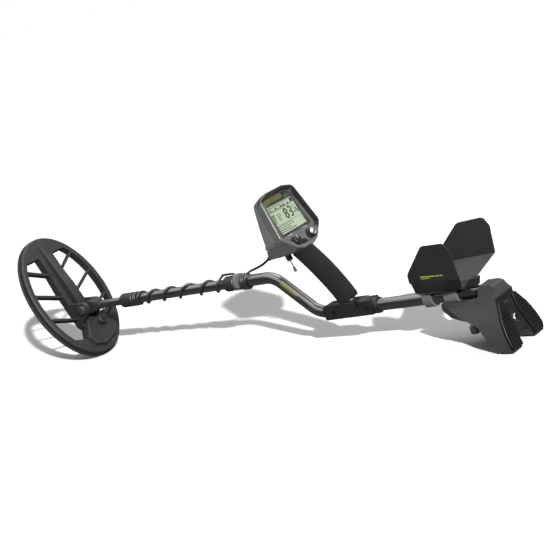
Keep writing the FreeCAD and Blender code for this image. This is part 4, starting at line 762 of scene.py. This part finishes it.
def patch(name, place, radius, spans, material, body):
    """Thin prints on a tube about the frame's X axis.

    Spans are (start, end, low angle, high angle, slant), in millimetres and degrees.
    """
    points, faces, steps = [], [], 8
    for start, end, low, high, slant in spans:
        first = len(points)
        for step in range(steps + 1):
            angle = math.radians(low + (high - low) * step / steps)
            shift = slant * step / steps
            corners = ((start, 0), (end, 0), (end, PRINT_THICKNESS), (start, PRINT_THICKNESS))
            for along, height in corners:
                reach = radius + height
                points.append(at(place, along + shift, -reach * math.cos(angle), reach * math.sin(angle)))
        faces += [tuple(first + corner for corner in face) for face in ring_faces(steps + 1, 4)]
    return new_piece(name, points, faces, material, body, smooth=False)


def prints():
    """Generic stripes in yellow-green: on the S-bend and on the near wing of the arm cup."""
    slope = math.radians(45.0)
    descent = STEM @ Matrix.Translation((9.4 * MM, 0, -14.1 * MM)) @ Matrix.Rotation(slope, 4, "Y")
    starts = [2.0 + 3.6 * step for step in range(11)]
    spans = [(start, start + 2.6, low, high, 0.8) for start in starts for low, high in ((14, 38), (46, 62))]
    piece = patch("rod_stripes", descent, 11.12, spans, "olive_ink", "handle")

    # the outer face of the near wing leans out from its foot to its rim and flares towards the elbow
    station, flare = 358.0, 0.147
    foot, rim = Vector((station, -53.286, -35.2)), Vector((station, -60.31, 36.0))
    wing = STEM @ axes(foot * MM, (1.0, -flare, 0.0), rim - foot)
    fields = ((-10.0, 22.0), (24.0, 32.0), (34.0, 39.0))
    stripes = [bar(left, 8.0, right, 10.2, 0.6) for left, right in fields]
    stripes.append(bar(-10.0, 5.2, 10.0, 6.4, 0.3))
    piece = plates("cup_stripes", wing, stripes, -0.1, 0.45, "lime_ink", "elbow_rest")


# ---------------------------------------------------------------- stage
def studio_sky():
    """A soft dome: white to the camera, dim to matt surfaces and a bright ceiling to glossy ones."""
    world = bpy.data.worlds.new("studio")
    world.use_nodes = True
    tree = world.node_tree
    place = tree.nodes.new("ShaderNodeTexCoord")
    split = tree.nodes.new("ShaderNodeSeparateXYZ")
    seen = tree.nodes.new("ShaderNodeLightPath")
    tree.links.new(place.outputs["Generated"], split.inputs["Vector"])

    def ceiling(start, end, dim, bright):
        """A brightness that climbs with the height of the ray, from dim to bright."""
        ramp = tree.nodes.new("ShaderNodeMapRange")
        tree.links.new(split.outputs["Z"], ramp.inputs["Value"])
        for key, number in zip(("From Min", "From Max", "To Min", "To Max"), (start, end, dim, bright)):
            ramp.inputs[key].default_value = number
        return ramp.outputs["Result"]

    def choose(ray, first, second):
        """The second value for rays of this kind and the first for all others."""
        level = tree.nodes.new("ShaderNodeMix")
        tree.links.new(seen.outputs[ray], level.inputs["Factor"])
        tree.links.new(first, level.inputs["A"])
        if isinstance(second, float):
            level.inputs["B"].default_value = second
        else:
            tree.links.new(second, level.inputs["B"])
        return level.outputs["Result"]

    tree.nodes["Background"].inputs["Color"].default_value = (1.0, 1.0, 1.0, 1.0)
    light = choose("Is Glossy Ray", ceiling(0.0, 0.9, 0.06, 0.27), ceiling(0.35, 0.8, 0.0, 2.6))
    tree.links.new(choose("Is Camera Ray", light, 1.0), tree.nodes["Background"].inputs["Strength"])
    return world


FLOOR_REACH = 14.0
FLOOR_COLOURS = ((0.90, 0.89, 0.88, 1.0), (0.92, 0.91, 0.90, 1.0))
FLOOR_BOUNCE = (0.42, 0.42, 0.42, 1.0)
FLOOR_MIRRORED = (0.12, 0.12, 0.12, 1.0)


def lay_floor():
    """A wide pale floor that sends little light back up, so that the undersides stay dark."""
    corners = [(x * FLOOR_REACH, y * FLOOR_REACH, 0) for x, y in ((-1, -1), (1, -1), (1, 1), (-1, 1))]
    floor = bpy.data.meshes.new("floor")
    floor.from_pydata(corners, [], [(0, 1, 2, 3)])
    n = Nodes("floor")
    ray = n.add("ShaderNodeLightPath").outputs
    pale = n.mix(n.noise(2.0, 2.0), *FLOOR_COLOURS)
    unseen = n.mix(ray["Is Glossy Ray"], FLOOR_BOUNCE, FLOOR_MIRRORED)
    n.set(Base_Color=n.mix(ray["Is Camera Ray"], unseen, pale), Roughness=0.9, Specular_IOR_Level=0.1)
    floor.materials.append(n.material)
    floor = bpy.data.objects.new("floor", floor)
    bpy.context.scene.collection.objects.link(floor)


def hang_lamp(name, kind, place, power):
    """A lamp that points at the middle of the floor."""
    lamp = bpy.data.lights.new(name, kind)
    lamp.energy = power
    holder = bpy.data.objects.new(name, lamp)
    holder.location = place
    holder.rotation_euler = (-Vector(place)).to_track_quat("-Z", "Y").to_euler()
    bpy.context.scene.collection.objects.link(holder)
    return lamp


def stage():
    """The floor, the sky, a low sun over the camera's right shoulder and a narrow light overhead."""
    lay_floor()
    bpy.context.scene.world = studio_sky()
    bpy.context.scene.view_settings.view_transform = "Standard"

    key = hang_lamp("key", "SUN", (2.14, -1.53, 1.42), 6.4)
    key.angle = math.radians(2.0)

    top = hang_lamp("top", "AREA", (0.35, 0.5, 1.7), 9.0)
    top.shape = "RECTANGLE"
    top.size = 1.6
    top.size_y = 0.4


# the camera: angles in radians, distances in metres, the focal length in millimetres
AZIMUTH = math.radians(40.68)
ELEVATION = math.radians(13.65)
ROLL = math.radians(15.51)
DISTANCE = 2.692
AIM = Vector((0.06455, 0.0, 0.14445))
FOCAL = 96.25


def camera():
    """A long lens a little above the floor, rolled about its line of sight."""
    back = Vector((math.sin(AZIMUTH) * math.cos(ELEVATION), -math.cos(AZIMUTH) * math.cos(ELEVATION),
                   math.sin(ELEVATION)))
    right = Vector((math.cos(AZIMUTH), math.sin(AZIMUTH), 0))
    up = back.cross(right)
    rolled_right = right * math.cos(ROLL) - up * math.sin(ROLL)
    rolled_up = right * math.sin(ROLL) + up * math.cos(ROLL)
    lens = bpy.data.cameras.new("camera")
    lens.lens = FOCAL
    lens.sensor_width = 36.0
    lens.clip_start = 0.05
    holder = bpy.data.objects.new("camera", lens)
    holder.matrix_world = axes(AIM + back * DISTANCE, rolled_right, rolled_up)
    bpy.context.scene.collection.objects.link(holder)
    bpy.context.scene.camera = holder


dress_nodes()
for node, width in EDGE_ROUNDING.items():
    soften(node, width)
cable()
strap()
grip()
lcd_content()
face_print()
knob_details()
prints()
stage()
camera()
